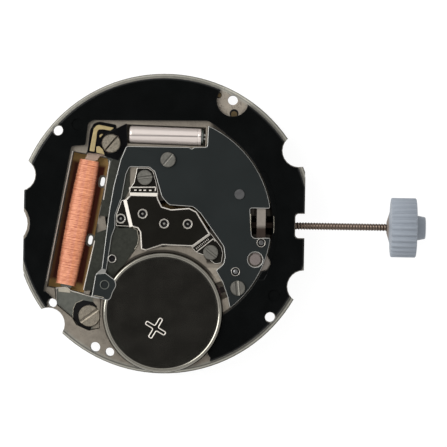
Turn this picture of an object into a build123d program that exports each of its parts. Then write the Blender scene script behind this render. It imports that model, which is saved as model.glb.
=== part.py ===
"""Quartz watch movement with three hands' arbors, seen from its battery side.

Lengths are millimetres. The origin is the centre of the hands on the dial seat. X runs out along the winding
stem, Y towards twelve o'clock of the battery side, and Z from the dial side to the battery side.
"""
from build123d import *
import os
from math import asin, atan2, cos, degrees, hypot, pi, radians, sin

# Gaps that every fit is made with
still_gap = 0.06
running_gap = 0.03
wheel_gap = 0.12
overrun = 1.0

# Main plate
plate_radius = 12.0
body_inset_depth = 0.15
flat_inset_depth = 0.8
flange_height = 0.5
plate_height = 2.1
plate_chamfer = 0.15
notch_radius = 1.3
notch_stand_length = 0.2
notch_angles = (29.4, -23.4, 162.3, -138.1)
shallow_notch_radius = 1.75
shallow_notch_stand_length = 0.63
shallow_notch_angle = 180.9
locating_slot_radius = 0.37
locating_slot_share = (-0.733, -0.54)
stem_notch_half_width = 0.97
stem_notch_depth = 1.55
stem_notch_corner = 0.3
foot_hole_radius = 0.4
foot_hole_inset_depth = 0.73
foot_hole_angles = (61.9, 139.7, 241.8, 319.5)
spare_hole_radius = 0.36
spare_hole_share = (-0.347, -0.86)
light_slot_length = 0.75
light_slot_width = 0.34
light_slot_shares = ((-0.417, 0.273), (-0.492, -0.118))

# Black frame on the battery side
frame_inset_depth = 0.42
frame_flat_inset_depth = 0.03
frame_height = 0.4
frame_chamfer = 0.1
frame_opening_margin_width = 0.1
frame_notch_margin = 0.2
frame_step_width = 0.45
frame_step_depth = 0.1
foot_relief_radius = 1.27
foot_relief_share = (0.4415, 0.8235)
frame_mark_radius = 0.49
frame_mark_depth = 0.1
frame_mark_shares = ((-0.584, 0.647), (0.738, -0.465))
frame_opening_shares = (
    (-0.792, -0.462), (-0.623, 0.503), (-0.531, 0.512), (-0.515, 0.655),
    (-0.483, 0.678), (0.0, 0.686), (0.281, 0.686), (0.328, 0.656), (0.397, 0.606), (0.309, 0.5),
    (0.309, -0.5), (-0.4, -0.5),
)
frame_foot_shares = (
    (-0.787, -0.455), (-0.728, -0.508), (-0.8, -0.6), (-1.1, -0.75), (-0.67, -1.1),
    (0.3, -1.1), (0.322, -0.885), (0.0, -0.4),
)

# Silver-oxide cell and what holds it
cell_radius = 4.75
cell_height = 2.05
cell_edge = 0.28
cell_share = (0.0, -0.589)
cell_floor = 0.5
cell_lift = 0.35
cell_cap_radius = 4.1
cell_cap_height = 0.4
cell_cap_drop = 0.1
cell_gasket_width = 0.18
film_thickness = 0.05
film_radius = 4.3
contact_thickness = 0.08
contact_length = 4.6
contact_width = 0.9
side_window_angles = (13.0, 30.0)
side_window_width = 0.5
side_window_floor = 0.9
side_spring_thickness = 0.1
side_spring_length = 0.9

# Going train: centre distances, tooth counts and levels
train_centre_length = 1.88
rotor_centre_length = 1.78
intermediate_angle = 156.5
third_angle = 0.0
rotor_angle = 193.3
rotor_leaves = 6
intermediate_teeth = 36
intermediate_leaves = 8
seconds_teeth = 40
seconds_leaves = 6
third_teeth = 45
third_leaves = 6
centre_teeth = 48
wheel_thickness = 0.1
pinion_overlap = 0.05
train_floor = 0.8
centre_wheel_level = 0.92
third_wheel_level = 1.18
seconds_wheel_level = 1.5
intermediate_wheel_level = 1.88
arbor_radius = 0.1
pivot_radius = 0.06
lower_pivot_length = 0.12
wheel_window_radius = 0.3
wheel_window_count = 3
wheel_window_share = 0.58
magnet_radius = 0.6
magnet_level = 0.98
magnet_height = 0.5
jewel_radius = 0.3
jewel_depth = 0.12
tooth_tip_share = 0.9
tooth_root_share = 1.15
leaf_tip_share = 0.6
leaf_foot_width_share = 0.29
leaf_tip_width_share = 0.12

# How many straight sides stand for a small round
small_sides = 8
head_sides = 16
notch_sides = 24

# Motion work and hand seats on the dial side
motion_centre_length = 1.9
cannon_leaves = 10
minute_teeth = 30
minute_leaves = 8
hour_teeth = 32
setting_teeth = 30
motion_angle = 0.0
motion_pocket_depth = 0.6
hour_wheel_level = 0.26
hour_wheel_thickness = 0.08
minute_wheel_level = 0.42
hour_pipe_radius = 0.6
hour_pipe_wall = 0.17
hour_pipe_reach = 0.75
hour_collar_width = 0.05
hand_seat_gap = 0.03
cannon_radius = 0.35
cannon_wall = 0.09
cannon_reach = 1.3
cannon_collar_width = 0.04
centre_tube_wall = 0.1
centre_tube_short = 0.08
seconds_pivot_reach = 1.75
seconds_collar_width = 0.02
minute_stud_radius = 0.16
setting_arbor_radius = 0.14
setting_crown_radius = 0.45
setting_crown_level = 0.84
setting_crown_thickness = 0.16
setting_crown_teeth = 12

# Dial-side cover of the motion work
dial_cover_level = 0.14
dial_cover_thickness = 0.08
dial_cover_margin = 0.5
dial_screw_radius = 0.42
dial_screw_head = 0.1
dial_screw_shank_radius = 0.18
dial_screw_length = 0.45
dial_screw_inset = 0.62
dial_seat_drop = 0.02

# Train bridge
bridge_thickness = 0.18
bridge_rise = 0.12
bridge_chamfer = 0.07
foot_thickness = 0.12
bush_radius = 0.375
bush_sink_radius = 0.23
bush_sink_depth = 0.06
bush_proud = 0.03
bridge_shares = (
    (-0.232, 0.182), (-0.046, 0.182), (-0.042, 0.162), (-0.016, 0.112), (0.045, 0.095),
    (0.165, 0.106), (0.213, 0.083), (0.304, -0.058), (0.183, -0.148), (-0.01, -0.143),
    (-0.118, -0.181), (-0.15, -0.172), (-0.158, -0.06), (-0.176, -0.033), (-0.206, -0.027),
    (-0.253, 0.16),
)
upper_foot_shares = (
    (-0.22, 0.165), (-0.046, 0.165), (-0.044, 0.205), (-0.056, 0.268), (-0.078, 0.345), (-0.11, 0.367),
    (-0.188, 0.367), (-0.19, 0.345), (-0.205, 0.27), (-0.228, 0.235), (-0.235, 0.205),
)
lower_foot_shares = (
    (0.285, -0.06), (0.307, -0.055), (0.342, -0.098), (0.383, -0.15), (0.394, -0.19), (0.385, -0.255),
    (0.343, -0.262), (0.261, -0.203), (0.2175, -0.189), (0.178, -0.145),
)
rotor_foot_shares = (
    (-0.2, 0.0), (-0.235, 0.16), (-0.286, 0.15), (-0.32, 0.05), (-0.32, -0.02), (-0.2, -0.024),
)
bridge_fold_shares = (
    ((-0.23, 0.181), (-0.048, 0.181)), ((-0.207, -0.022), (-0.252, 0.156)), ((0.302, -0.059), (0.185, -0.147)),
)
bridge_fold_widths = (0.26, 0.27, 0.15)
fold_root = 0.1
bridge_screw_shares = ((-0.133, 0.304), (0.312, -0.187))

# Screws
screw_head_radius = 0.6
screw_head_height = 0.2
screw_shank_radius = 0.26
screw_shank_length = 0.9
screw_slot_width = 0.12
screw_slot_depth = 0.08
screw_grip_share = 0.9
bridge_screw_turns = (8.0, -38.0)
cover_screw_turns = (50.0, 96.0)
motor_screw_turns = (50.0, 36.0)
motor_screw_upper_radius = 0.73
motor_screw_lower_radius = 0.87
motor_screw_upper_share = (-0.36, 0.526)
motor_screw_lower_share = (-0.487, -0.622)

# Circuit board and cover plate
board_recess = 0.15
board_thickness = 0.2
board_shares = (
    (-0.36, 0.392), (-0.345, 0.43), (-0.3, 0.44), (-0.25, 0.5), (0.27, 0.5), (0.3, 0.6),
    (0.42, 0.53), (0.53, 0.42), (0.62, 0.3), (0.67, 0.17), (0.6, 0.16), (0.53, 0.1),
    (0.44, 0.02), (0.38, 0.0), (0.3, 0.02), (0.24, 0.085), (0.17, 0.135), (0.05, 0.135),
    (0.0, 0.16), (-0.03, 0.27), (-0.06, 0.385), (-0.235, 0.385), (-0.235, 0.24), (-0.243, 0.21),
    (-0.262, 0.17), (-0.29, 0.152), (-0.33, 0.02), (-0.3, -0.036), (-0.21, -0.034), (-0.178, -0.045),
    (-0.167, -0.1), (-0.174, -0.142), (-0.192, -0.175), (-0.26, -0.275), (-0.32, -0.38), (-0.37, -0.44),
    (-0.535, -0.452),
)
board_window_shares = ((-0.425, 0.047), (-0.375, 0.04), (-0.383, -0.045), (-0.45, -0.07), (-0.44, 0.02))
chip_size = 1.9
chip_height = 0.35
chip_share = (0.22, 0.3)
cover_thickness = 0.15
cover_radius_share = 0.7125
cover_shares = (
    (-0.26, 0.51), (0.159, 0.51), (0.175, 0.498), (0.19, 0.51), (0.277, 0.513), (0.281, 0.636),
    (0.29, 0.8), (0.8, 0.8), (0.8, -0.8), (0.452, -0.59), (0.431, -0.484), (0.394, -0.381),
    (0.348, -0.304), (0.398, -0.262), (0.407, -0.215), (0.398, -0.145), (0.24, 0.072),
    (0.19, 0.115), (0.03, 0.124), (-0.018, 0.175), (-0.07, 0.345), (-0.103, 0.37),
    (-0.236, 0.373), (-0.258, 0.322), (-0.31, 0.01), (-0.346, -0.09), (-0.377, -0.312),
    (-0.409, -0.305), (-0.366, 0.079), (-0.339, 0.246), (-0.295, 0.424),
)
window_shares = ((0.568, 0.112), (0.76, 0.112), (0.76, -0.08), (0.6, -0.086), (0.582, -0.07))
cover_screw_shares = ((0.019, 0.424), (0.496, -0.42))
steady_pin_share = (0.497, 0.203)
steady_pin_radius = 0.4
small_pin_share = (-0.341, -0.239)
small_pin_radius = 0.3
rivet_radius = 0.32
rivet_shares = ((0.648, -0.117), (0.479, -0.31))
rivet_rise = 0.14
bridle_thickness = 0.12
bridle_gap = 0.02
arm_end_indices = (27, 26)
bridle_shares = (
    (-0.447, -0.342), (-0.382, -0.333), (-0.345, -0.36), (-0.318, -0.378), (-0.307, -0.416),
    (-0.331, -0.461), (-0.344, -0.503), (-0.362, -0.515), (-0.47, -0.49),
)
bridle_dimple_share = (-0.386, -0.411)
bridle_dimple_radius = 0.3
bridle_wall_shares = ((-0.47, -0.49), (-0.425, -0.5))

# Quartz crystal in its can
crystal_radius = 0.7
crystal_length = 5.75
crystal_edge = 0.15
crystal_share = (-0.003, 0.5855)
crystal_tilt = -1.3
crystal_base_length = 0.15
crystal_base_inset = 0.08
crystal_pocket_floor = 0.84
crystal_pocket_end = 0.35
lead_radius = 0.07
lead_length = 0.2
lead_spread = 0.3

# Stepping motor coil
coil_tilt = 10.0
coil_share = (-0.57, -0.002)
coil_length = 10.1
coil_end_width = 1.52
coil_middle_width = 1.98
coil_end_height = 1.1
coil_middle_height = 1.5
coil_corner_share = 0.27
coil_station_shares = (0.0, 0.12, 0.3, 0.5, 0.7, 0.88, 1.0)
coil_side_gap = 0.51
coil_end_gap = 0.45
coil_pocket_floor = 0.7
coil_film_thickness = 0.08
core_width = 0.85
core_stand_length = 0.2
core_thickness = 0.3
core_lug_shares = (
    (-0.715, -0.435), (-0.704, -0.546), (-0.596, -0.633), (-0.569, -0.678), (-0.488, -0.714), (-0.42, -0.7),
    (-0.415, -0.504), (-0.472, -0.492), (-0.611, -0.452), (-0.64, -0.43),
)
core_head_shares = (
    (-0.528, 0.425), (-0.452, 0.412), (-0.438, 0.437), (-0.39, 0.452), (-0.305, 0.5), (-0.3, 0.58),
    (-0.42, 0.585), (-0.44, 0.54), (-0.5, 0.49), (-0.517, 0.463),
)
stator_thickness = 0.4
stator_width = 0.9
stator_eye_radius = 1.2
stator_bore_radius = 0.8
stator_slot = 0.12

# Strip contacts and the insulator over the upper end of the motor
strip_width = 0.34
strip_thickness = 0.06
strip_level = 2.15
strip_path_shares = ((-0.486, 0.472), (-0.464, 0.638), (-0.33, 0.629))
short_strip_shares = ((-0.457, 0.497), (-0.385, 0.449))
insulator_thickness = 0.14
insulator_base_thickness = 0.05
insulator_base_shares = (
    (-0.519, 0.462), (-0.502, 0.612), (-0.48, 0.655), (-0.45, 0.668), (-0.421, 0.667), (-0.33, 0.651),
    (-0.31, 0.517), (-0.3775, 0.452),
)
insulator_shares = (
    (-0.258, 0.662), (-0.254, 0.517), (-0.313, 0.413), (-0.4, 0.44), (-0.43, 0.527), (-0.398, 0.588),
)

# Winding stem, its crown and the setting parts
stem_level = 1.45
thread_radius = 0.3
thread_core_share = 0.86
stem_radius = 0.4
stem_groove_share = 0.6442
stem_groove_width = 0.3
stem_groove_radius = 0.2
stem_collar_width = 0.25
stem_square = 0.46
stem_square_stand_length = 0.15
stem_pilot_radius = 0.17
stem_pilot_length = 0.7
stem_shoulder_depth = 1.75
stem_pull = 0.6
clutch_radius = 0.62
clutch_groove_radius = 0.42
clutch_stand_length = 0.55
clutch_length = 1.0
clutch_groove_width = 0.3
clutch_teeth = 10
clutch_tooth_depth = 0.12
crown_stand_length = 6.05
crown_width = 2.08
crown_radius = 2.37
crown_flutes = 28
crown_flute_depth = 0.16
crown_ridge_share = 0.22
crown_hub_radius = 0.55
crown_hub_length = 0.3
crown_cone_radius = 1.5
crown_boss_radius = 1.0
crown_boss_length = 0.72
crown_boss_tip_radius = 0.86
crown_bore_depth = 1.6
lever_level = 1.88
lever_thickness = 0.12
lever_width = 0.7
lever_arm_width = 0.6
lever_reach = 1.72
lever_knee = 0.9
lever_pin_radius = 0.11
lever_pivot_share = (0.6085, -0.2285)
lever_pivot_radius = 0.2
lever_stud_radius = 0.44
lever_stud_top = 2.26
lever_stud_hole = 0.6
yoke_finger_radius = 0.09
yoke_width = 0.45
spring_level = 2.03
spring_thickness = 0.09
spring_shares = (
    (0.45, -0.34), (0.5, -0.345), (0.6, -0.29), (0.65, -0.305), (0.6875, -0.292), (0.707, -0.26),
    (0.707, -0.242), (0.688, -0.202), (0.672, -0.17), (0.68, -0.08), (0.62, -0.085), (0.56, -0.2), (0.45, -0.28),
)


# Places worked out from the sizes
def at(share):
    """A point given as shares of the plate's radius."""
    return (share[0] * plate_radius, share[1] * plate_radius)


def polar(distance, angle, start=(0.0, 0.0)):
    """The point at a distance and an angle in degrees from a start point."""
    return (start[0] + distance * cos(radians(angle)), start[1] + distance * sin(radians(angle)))


centre = (0.0, 0.0)
body_radius = plate_radius - body_inset_depth
flat_half_width = plate_radius - flat_inset_depth
foot_ring_radius = plate_radius - foot_hole_inset_depth
stem_notch_reach = plate_radius - stem_notch_depth
cover_radius = cover_radius_share * plate_radius
frame_radius = plate_radius - frame_inset_depth
frame_flat_half_width = flat_half_width - frame_flat_inset_depth
frame_opening_radius = cover_radius + frame_opening_margin_width
coil_pocket_width = coil_middle_width + 2 * coil_side_gap
coil_pocket_length = coil_length + 2 * coil_end_gap
intermediate_place = polar(train_centre_length, intermediate_angle)
third_place = polar(train_centre_length, third_angle)
rotor_place = polar(rotor_centre_length, rotor_angle, intermediate_place)
minute_place = polar(motion_centre_length, motion_angle)
motion_module = 2 * motion_centre_length / (cannon_leaves + minute_teeth)
setting_distance = motion_module * (minute_teeth + setting_teeth) / 2
setting_place = polar(setting_distance, motion_angle, minute_place)
cell_place = at(cell_share)
lever_pivot = at(lever_pivot_share)
clutch_start = setting_place[0] + clutch_stand_length
stem_square_end = clutch_start - stem_square_stand_length
stem_pilot_end = stem_square_end - stem_pilot_length
stem_groove_place = stem_groove_share * plate_radius
stem_shoulder = plate_radius - stem_shoulder_depth
crown_start = plate_radius + crown_stand_length
frame_top = plate_height + frame_height
board_level = plate_height - board_recess
cover_level = board_level + board_thickness
cover_top = cover_level + cover_thickness
bridge_level = plate_height + bridge_rise
bridge_top = bridge_level + bridge_thickness
cell_bottom = cell_floor + cell_lift
cell_top = cell_bottom + cell_height
pivot_top = bridge_top - running_gap
coil_level = coil_pocket_floor + coil_film_thickness + still_gap + coil_middle_height / 2
core_level = coil_level - core_thickness / 2
stator_level = core_level - stator_thickness
head_level = core_level + core_thickness
full_height = plate_height + 2 * overrun


# Plain shapes
def disc(radius, place=centre):
    """A flat disc about a place."""
    return Pos(*place) * Circle(radius)


def facet(radius, place=centre, sides=small_sides):
    """A disc drawn with straight sides, for the small rounds."""
    return Pos(*place) * RegularPolygon(radius, sides)


def slab(sketch, low, high):
    """A sketch raised from one level to another."""
    return extrude(Pos(0, 0, low) * sketch, amount=high - low)


def post(radius, place, low, high):
    """An upright cylinder."""
    return slab(disc(radius, place), low, high)


def peg(radius, place, low, high, sides=small_sides):
    """An upright rod with straight sides."""
    return slab(facet(radius, place, sides), low, high)


def outline(shares):
    """A closed outline through points given as shares of the plate's radius."""
    return make_face(Polyline(*[at(share) for share in shares], close=True))


def strip(start, end, width, sides=small_sides):
    """A flat bar with rounded ends between two points."""
    length = hypot(end[0] - start[0], end[1] - start[1])
    turn = degrees(atan2(end[1] - start[1], end[0] - start[0]))
    bar = Rectangle(length, width) + facet(width / 2, (length / 2, 0), sides) + facet(width / 2, (-length / 2, 0), sides)
    return Pos((start[0] + end[0]) / 2, (start[1] + end[1]) / 2) * Rot(0, 0, turn) * bar


def grown(sketch, gap):
    """The sketch with the same gap added all round."""
    return offset(sketch, amount=gap, kind=Kind.INTERSECTION)


def stem_peg(radius, start, end, sides=small_sides):
    """A rod with straight sides along the stem's axis."""
    return Pos(start, 0, stem_level) * Rot(0, 90, 0) * extrude(RegularPolygon(radius, sides), amount=end - start)


def tip_of(module, teeth):
    """The outer radius of a toothed wheel."""
    return module * (teeth / 2 + tooth_tip_share)


def toothed(module, teeth, phase):
    """A wheel's outline, its pointed teeth starting at the phase angle, in degrees."""
    root = module * (teeth / 2 - tooth_root_share)
    points = []
    for tooth in range(teeth):
        points.append(polar(tip_of(module, teeth), phase + tooth * 360 / teeth))
        points.append(polar(root, phase + (tooth + 0.5) * 360 / teeth))
    return make_face(Polyline(*points, close=True))


def leaved(module, leaves, phase):
    """A pinion's outline, its leaves narrower at the tip than at the foot."""
    root, tip = module * (leaves / 2 - tooth_root_share), module * (leaves / 2 + leaf_tip_share)
    foot, end = leaf_foot_width_share, leaf_tip_width_share
    points = []
    for leaf in range(leaves):
        for radius, side in ((root, -foot), (tip, -end), (tip, end), (root, foot)):
            points.append(polar(radius, phase + (leaf + side) * 360 / leaves))
    return make_face(Polyline(*points, close=True))


def wheel(module, teeth, phase, level, thickness, place, windows=0):
    """A thin toothed wheel, with windows between its hub and its rim."""
    shape = toothed(module, teeth, phase)
    window_circle = wheel_window_share * module * teeth / 2
    for window in range(windows):
        spot = polar(window_circle, phase + window * 360 / windows)
        shape -= facet(wheel_window_radius, spot)
    return slab(Pos(*place) * shape, level, level + thickness)


def pinion(module, leaves, phase, low, high, place):
    """The leaves of a pinion between two levels."""
    return slab(Pos(*place) * leaved(module, leaves, phase), low, high)


def screw(place, head_radius, head_low, shank_length, slot_turn, head_height=screw_head_height):
    """A cheese-head screw with a slot, its head up."""
    head = peg(head_radius, place, head_low, head_low + head_height, head_sides)
    slot = Pos(*place) * Rot(0, 0, slot_turn) * Rectangle(2 * head_radius + overrun, screw_slot_width)
    head -= slab(slot, head_low + head_height - screw_slot_depth, head_low + head_height + overrun)
    return head + peg(screw_shank_radius, place, head_low - shank_length, head_low)


# Modules of the meshing pairs
rotor_module = 2 * rotor_centre_length / (rotor_leaves + intermediate_teeth)
intermediate_module = 2 * train_centre_length / (intermediate_leaves + seconds_teeth)
seconds_module = 2 * train_centre_length / (seconds_leaves + third_teeth)
third_module = 2 * train_centre_length / (third_leaves + centre_teeth)
hour_module = 2 * motion_centre_length / (minute_leaves + hour_teeth)


# Outlines that several pieces share
def rim_cuts(extra=0.0):
    """The notches round the rim, grown by an extra gap."""
    shallow_ring = plate_radius + shallow_notch_stand_length
    cuts = facet(shallow_notch_radius + extra, polar(shallow_ring, shallow_notch_angle), notch_sides)
    for angle in notch_angles:
        cuts += facet(notch_radius + extra, polar(plate_radius + notch_stand_length, angle), notch_sides)
    cuts += facet(locating_slot_radius + extra, at(locating_slot_share))
    length = plate_radius + overrun - stem_notch_reach
    mouth = RectangleRounded(length + extra, 2 * (stem_notch_half_width + extra), stem_notch_corner)
    return cuts + Pos(stem_notch_reach + (length - extra) / 2, 0) * mouth


def flats(half_width):
    """The bar between the two side flats."""
    return Rectangle(2 * half_width, 2 * (plate_radius + overrun))


def cell_seat(extra=still_gap):
    """The disc that the cell stands in."""
    return disc(cell_radius + extra, cell_place)


def coil_frame(width, length):
    """A bar set along the coil's own axis."""
    return Pos(*at(coil_share)) * Rot(0, 0, -coil_tilt) * Rectangle(width, length)


def crystal_bar(length, width, shift=0.0):
    """A bar set along the crystal's axis."""
    return Pos(*at(crystal_share)) * Rot(0, 0, crystal_tilt) * Pos(shift, 0) * Rectangle(length, width)


def bridge_area():
    """All that the train bridge covers."""
    area = outline(bridge_shares) + outline(upper_foot_shares) + outline(lower_foot_shares)
    return area + outline(rotor_foot_shares)


def light_slot(place, width):
    """A short slot set across the coil's own axis."""
    reach = (light_slot_length - light_slot_width) / 2
    turn = 90 - coil_tilt
    return strip(polar(-reach, turn, place), polar(reach, turn, place), width)


def stator_area(extra=0.0):
    """The stator's outline, from one motor screw past the rotor to the other."""
    upper, lower = at(motor_screw_upper_share), at(motor_screw_lower_share)
    width = stator_width + 2 * extra
    area = strip(upper, rotor_place, width) + strip(rotor_place, lower, width)
    area += facet(stator_eye_radius + extra, rotor_place, head_sides)
    area += facet(motor_screw_upper_radius + extra, upper)
    return area + facet(motor_screw_lower_radius + extra, lower)


def core_area():
    """The coil core's bar with its two lugs."""
    bar = coil_frame(core_width, coil_length + 2 * core_stand_length)
    return bar + outline(core_lug_shares) + outline(core_head_shares)


def lever_area(turn=0.0, extra=0.0):
    """The setting lever's outline, turned about its pivot: an arm from the pivot and a straight bar over the stem."""
    length = lever_reach + lever_knee + extra
    bar = Rectangle(lever_width + 2 * extra, length, align=(Align.CENTER, Align.MIN))
    knee = (stem_groove_place, -lever_knee)
    shape = Pos(*knee) * bar + facet(lever_width / 2 + extra, knee)
    shape += strip(lever_pivot, knee, lever_arm_width + 2 * extra)
    shape += facet(lever_stud_radius + extra, lever_pivot)
    return Pos(*lever_pivot) * Rot(0, 0, -turn) * Pos(-lever_pivot[0], -lever_pivot[1]) * shape


def yoke_place():
    """Where the yoke's finger stands beside the clutch's groove."""
    side = (clutch_radius + clutch_groove_radius) / 2
    return (clutch_start + clutch_length / 2, -side)


def lever_swing():
    """The angle that the setting lever turns while the stem is drawn."""
    reach = hypot(stem_groove_place - lever_pivot[0], lever_pivot[1])
    return degrees(2 * asin(stem_pull / 2 / reach))


def setting_area(extra=0.0):
    """The shallow pocket that the lever and the yoke move in."""
    gap = wheel_gap + extra
    area = make_hull((lever_area(0.0, gap) + lever_area(lever_swing(), gap)).edges())
    return area + strip(at(rivet_shares[1]), yoke_place(), yoke_width + 2 * gap)


def train_area():
    """The pocket that the going train turns in."""
    area = facet(tip_of(third_module, centre_teeth) + wheel_gap, centre, head_sides)
    area += facet(tip_of(seconds_module, third_teeth) + wheel_gap, third_place, head_sides)
    area += facet(tip_of(rotor_module, intermediate_teeth) + wheel_gap, intermediate_place, head_sides)
    return area + facet(stator_bore_radius, rotor_place, head_sides)


def motion_area(extra):
    """The dial-side pocket round the hour, minute and setting wheels."""
    area = facet(tip_of(hour_module, hour_teeth) + extra, centre, head_sides)
    area += facet(tip_of(motion_module, minute_teeth) + extra, minute_place, head_sides)
    return area + facet(tip_of(motion_module, setting_teeth) + extra, setting_place, head_sides)


def dial_cover_area(extra=0.0):
    """The dial-side cover's outline, one rounded bar over the three wheels."""
    radius = tip_of(hour_module, hour_teeth) + wheel_gap + dial_cover_margin + extra
    return strip(centre, setting_place, 2 * radius, head_sides)


def dial_screw_places():
    """Where the three screws of the dial-side cover stand, on its edge."""
    radius = tip_of(hour_module, hour_teeth) + wheel_gap + dial_cover_margin - dial_screw_inset / 2
    middle = setting_place[0] / 2 + motion_centre_length / 4
    return (polar(radius, 180), (middle, radius), (middle, -radius))


def spots(shares):
    """The points of a table of shares."""
    return [at(share) for share in shares]


# Pieces that stay still
def main_plate():
    """Nickel-plated brass plate with its rim, pockets, bores and tapped holes."""
    body = slab(disc(plate_radius) & flats(flat_half_width), 0, flange_height)
    upper = slab(disc(body_radius) & flats(flat_half_width), 0, plate_height)
    body += chamfer(upper.edges().group_by(Axis.Z)[-1], plate_chamfer)
    body -= slab(rim_cuts(), -overrun, full_height)
    top = plate_height + overrun
    body -= slab(cell_seat(), cell_floor, top)
    low, high = side_window_angles
    window = disc(cell_radius + still_gap + side_window_width, cell_place)
    middle = polar(cell_radius, (low + high) / 2, cell_place)
    width = 2 * cell_radius * sin(radians(high - low) / 2)
    window &= Pos(*middle) * Rot(0, 0, (low + high) / 2) * Rectangle(4 * side_window_width, width)
    body -= slab(window, side_window_floor, top)
    body -= slab(coil_frame(coil_pocket_width, coil_pocket_length), coil_pocket_floor, top)
    body -= slab(train_area(), train_floor, top)
    body -= slab(stator_area(still_gap), stator_level, top)
    body -= slab(grown(core_area(), still_gap), core_level, top)
    bed = 2 * crystal_pocket_end + crystal_length
    body -= slab(crystal_bar(bed, 2 * (crystal_radius + still_gap)), crystal_pocket_floor, top)
    body -= slab(grown(outline(board_shares), still_gap), board_level, top)
    chip = Pos(*at(chip_share)) * Rectangle(chip_size + 2 * still_gap, chip_size + 2 * still_gap)
    body -= slab(chip, board_level - chip_height - still_gap, top)
    body -= slab(setting_area(), lever_level - running_gap, top)
    body -= slab(grown(outline(spring_shares), still_gap), spring_level - running_gap, top)
    channel = Rectangle(stem_groove_place + 2 * stem_pull - clutch_start + wheel_gap, 2 * (clutch_radius + wheel_gap),
                        align=(Align.MIN, Align.CENTER))
    body -= slab(Pos(clutch_start - wheel_gap, 0) * channel, stem_level - clutch_radius - wheel_gap, top)
    body -= stem_peg(stem_radius + running_gap, stem_groove_place, plate_radius, head_sides)
    body -= stem_peg(stem_pilot_radius + running_gap, stem_pilot_end - wheel_gap, clutch_start)
    body -= peg(lever_pivot_radius + running_gap, lever_pivot, motion_pocket_depth + still_gap, top)
    for place in spots(bridge_screw_shares):
        body -= peg(screw_shank_radius, place, plate_height - screw_shank_length, top)
    for place in spots(cover_screw_shares):
        body -= peg(screw_shank_radius, place, cover_top - screw_shank_length, top)
    for share in (motor_screw_upper_share, motor_screw_lower_share):
        body -= peg(screw_shank_radius, at(share), head_level - screw_shank_length, top)
    body -= peg(steady_pin_radius / 2, at(steady_pin_share), plate_height - screw_shank_length, top)
    body -= peg(small_pin_radius / 2, at(small_pin_share), plate_height - screw_shank_length, top)
    return body - plate_holes() - dial_pockets()


def plate_holes():
    """The holes that pass through the plate, and the blind seats of the lower pivots."""
    holes = peg(spare_hole_radius, at(spare_hole_share), -overrun, full_height, head_sides)
    for angle in foot_hole_angles:
        holes += post(foot_hole_radius, polar(foot_ring_radius, angle), -overrun, full_height)
    for place in spots(light_slot_shares):
        holes += slab(light_slot(place, light_slot_width), -overrun, full_height)
    tube_radius = cannon_radius - cannon_wall
    holes += peg(tube_radius + running_gap, centre, -overrun, train_floor + overrun)
    for place in (intermediate_place, third_place):
        holes += peg(pivot_radius + running_gap, place, train_floor - lower_pivot_length - still_gap, train_floor)
    return holes + peg(jewel_radius, rotor_place, train_floor - jewel_depth, train_floor)


def dial_pockets():
    """The recesses cut from the dial side."""
    cover_back = dial_cover_level + dial_cover_thickness
    pockets = slab(motion_area(wheel_gap), -overrun, motion_pocket_depth)
    pockets -= peg(minute_stud_radius, minute_place, cover_back, full_height)
    pockets += slab(dial_cover_area(still_gap), -overrun, cover_back)
    well = setting_crown_radius + wheel_gap
    pockets += peg(well, setting_place, 0, setting_crown_level + setting_crown_thickness + wheel_gap)
    for place in dial_screw_places():
        pockets += peg(dial_screw_shank_radius, place, 0, dial_cover_level + dial_screw_length)
    return pockets


def upper_frame():
    """Black moulded frame that lies round the mechanism on the battery side."""
    solid = slab(disc(frame_radius) & flats(frame_flat_half_width), plate_height, frame_top)
    solid = chamfer(solid.edges().group_by(Axis.Z)[-1], frame_chamfer)
    cuts = rim_cuts(still_gap) + facet(foot_relief_radius, at(foot_relief_share), notch_sides)
    for angle in foot_hole_angles[1:]:
        cuts += facet(foot_hole_radius + still_gap, polar(foot_ring_radius, angle))
    shallow_ring = plate_radius + shallow_notch_stand_length
    cuts += facet(shallow_notch_radius + frame_notch_margin, polar(shallow_ring, shallow_notch_angle), notch_sides)
    half_height = frame_opening_shares[5][1] * plate_radius
    cuts += disc(frame_opening_radius) & Pos(frame_opening_radius / 2, 0) * Rectangle(
        frame_opening_radius, 2 * half_height)
    cuts += grown(outline(spring_shares), still_gap)
    cuts += outline(frame_opening_shares) + outline(frame_foot_shares) + cell_seat()
    cuts += coil_frame(coil_pocket_width, coil_pocket_length)
    solid -= slab(cuts, plate_height - overrun, frame_top + overrun)
    step = disc(frame_opening_radius + frame_step_width) & Pos(frame_opening_radius, 0) * Rectangle(
        frame_opening_radius, frame_opening_radius)
    solid -= slab(step, frame_top - frame_step_depth, frame_top + overrun)
    for place in spots(frame_mark_shares):
        solid -= peg(frame_mark_radius, place, frame_top - frame_mark_depth, frame_top + overrun, head_sides)
    return max(solid.solids(), key=lambda piece: piece.volume)


def cell_parts():
    """The cell's can, its sealing ring and its cap."""
    can = post(cell_radius, cell_place, cell_bottom + cell_cap_drop, cell_top)
    can = chamfer(can.edges().group_by(Axis.Z)[-1], cell_edge)
    seat = cell_cap_radius + cell_gasket_width
    cap_top = cell_bottom + cell_cap_height
    can -= peg(seat, cell_place, cell_bottom, cap_top, head_sides)
    gasket = peg(seat, cell_place, cell_bottom + cell_cap_drop, cap_top, head_sides)
    gasket -= peg(cell_cap_radius, cell_place, cell_bottom, cap_top, head_sides)
    cap = peg(cell_cap_radius, cell_place, cell_bottom, cap_top, head_sides)
    cap = chamfer(cap.edges().group_by(Axis.Z)[0], cell_cap_drop)
    return can, gasket, cap


def insulating_film():
    """Thin film under the cell's contact."""
    return peg(film_radius, cell_place, cell_floor, cell_floor + film_thickness, head_sides)


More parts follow.
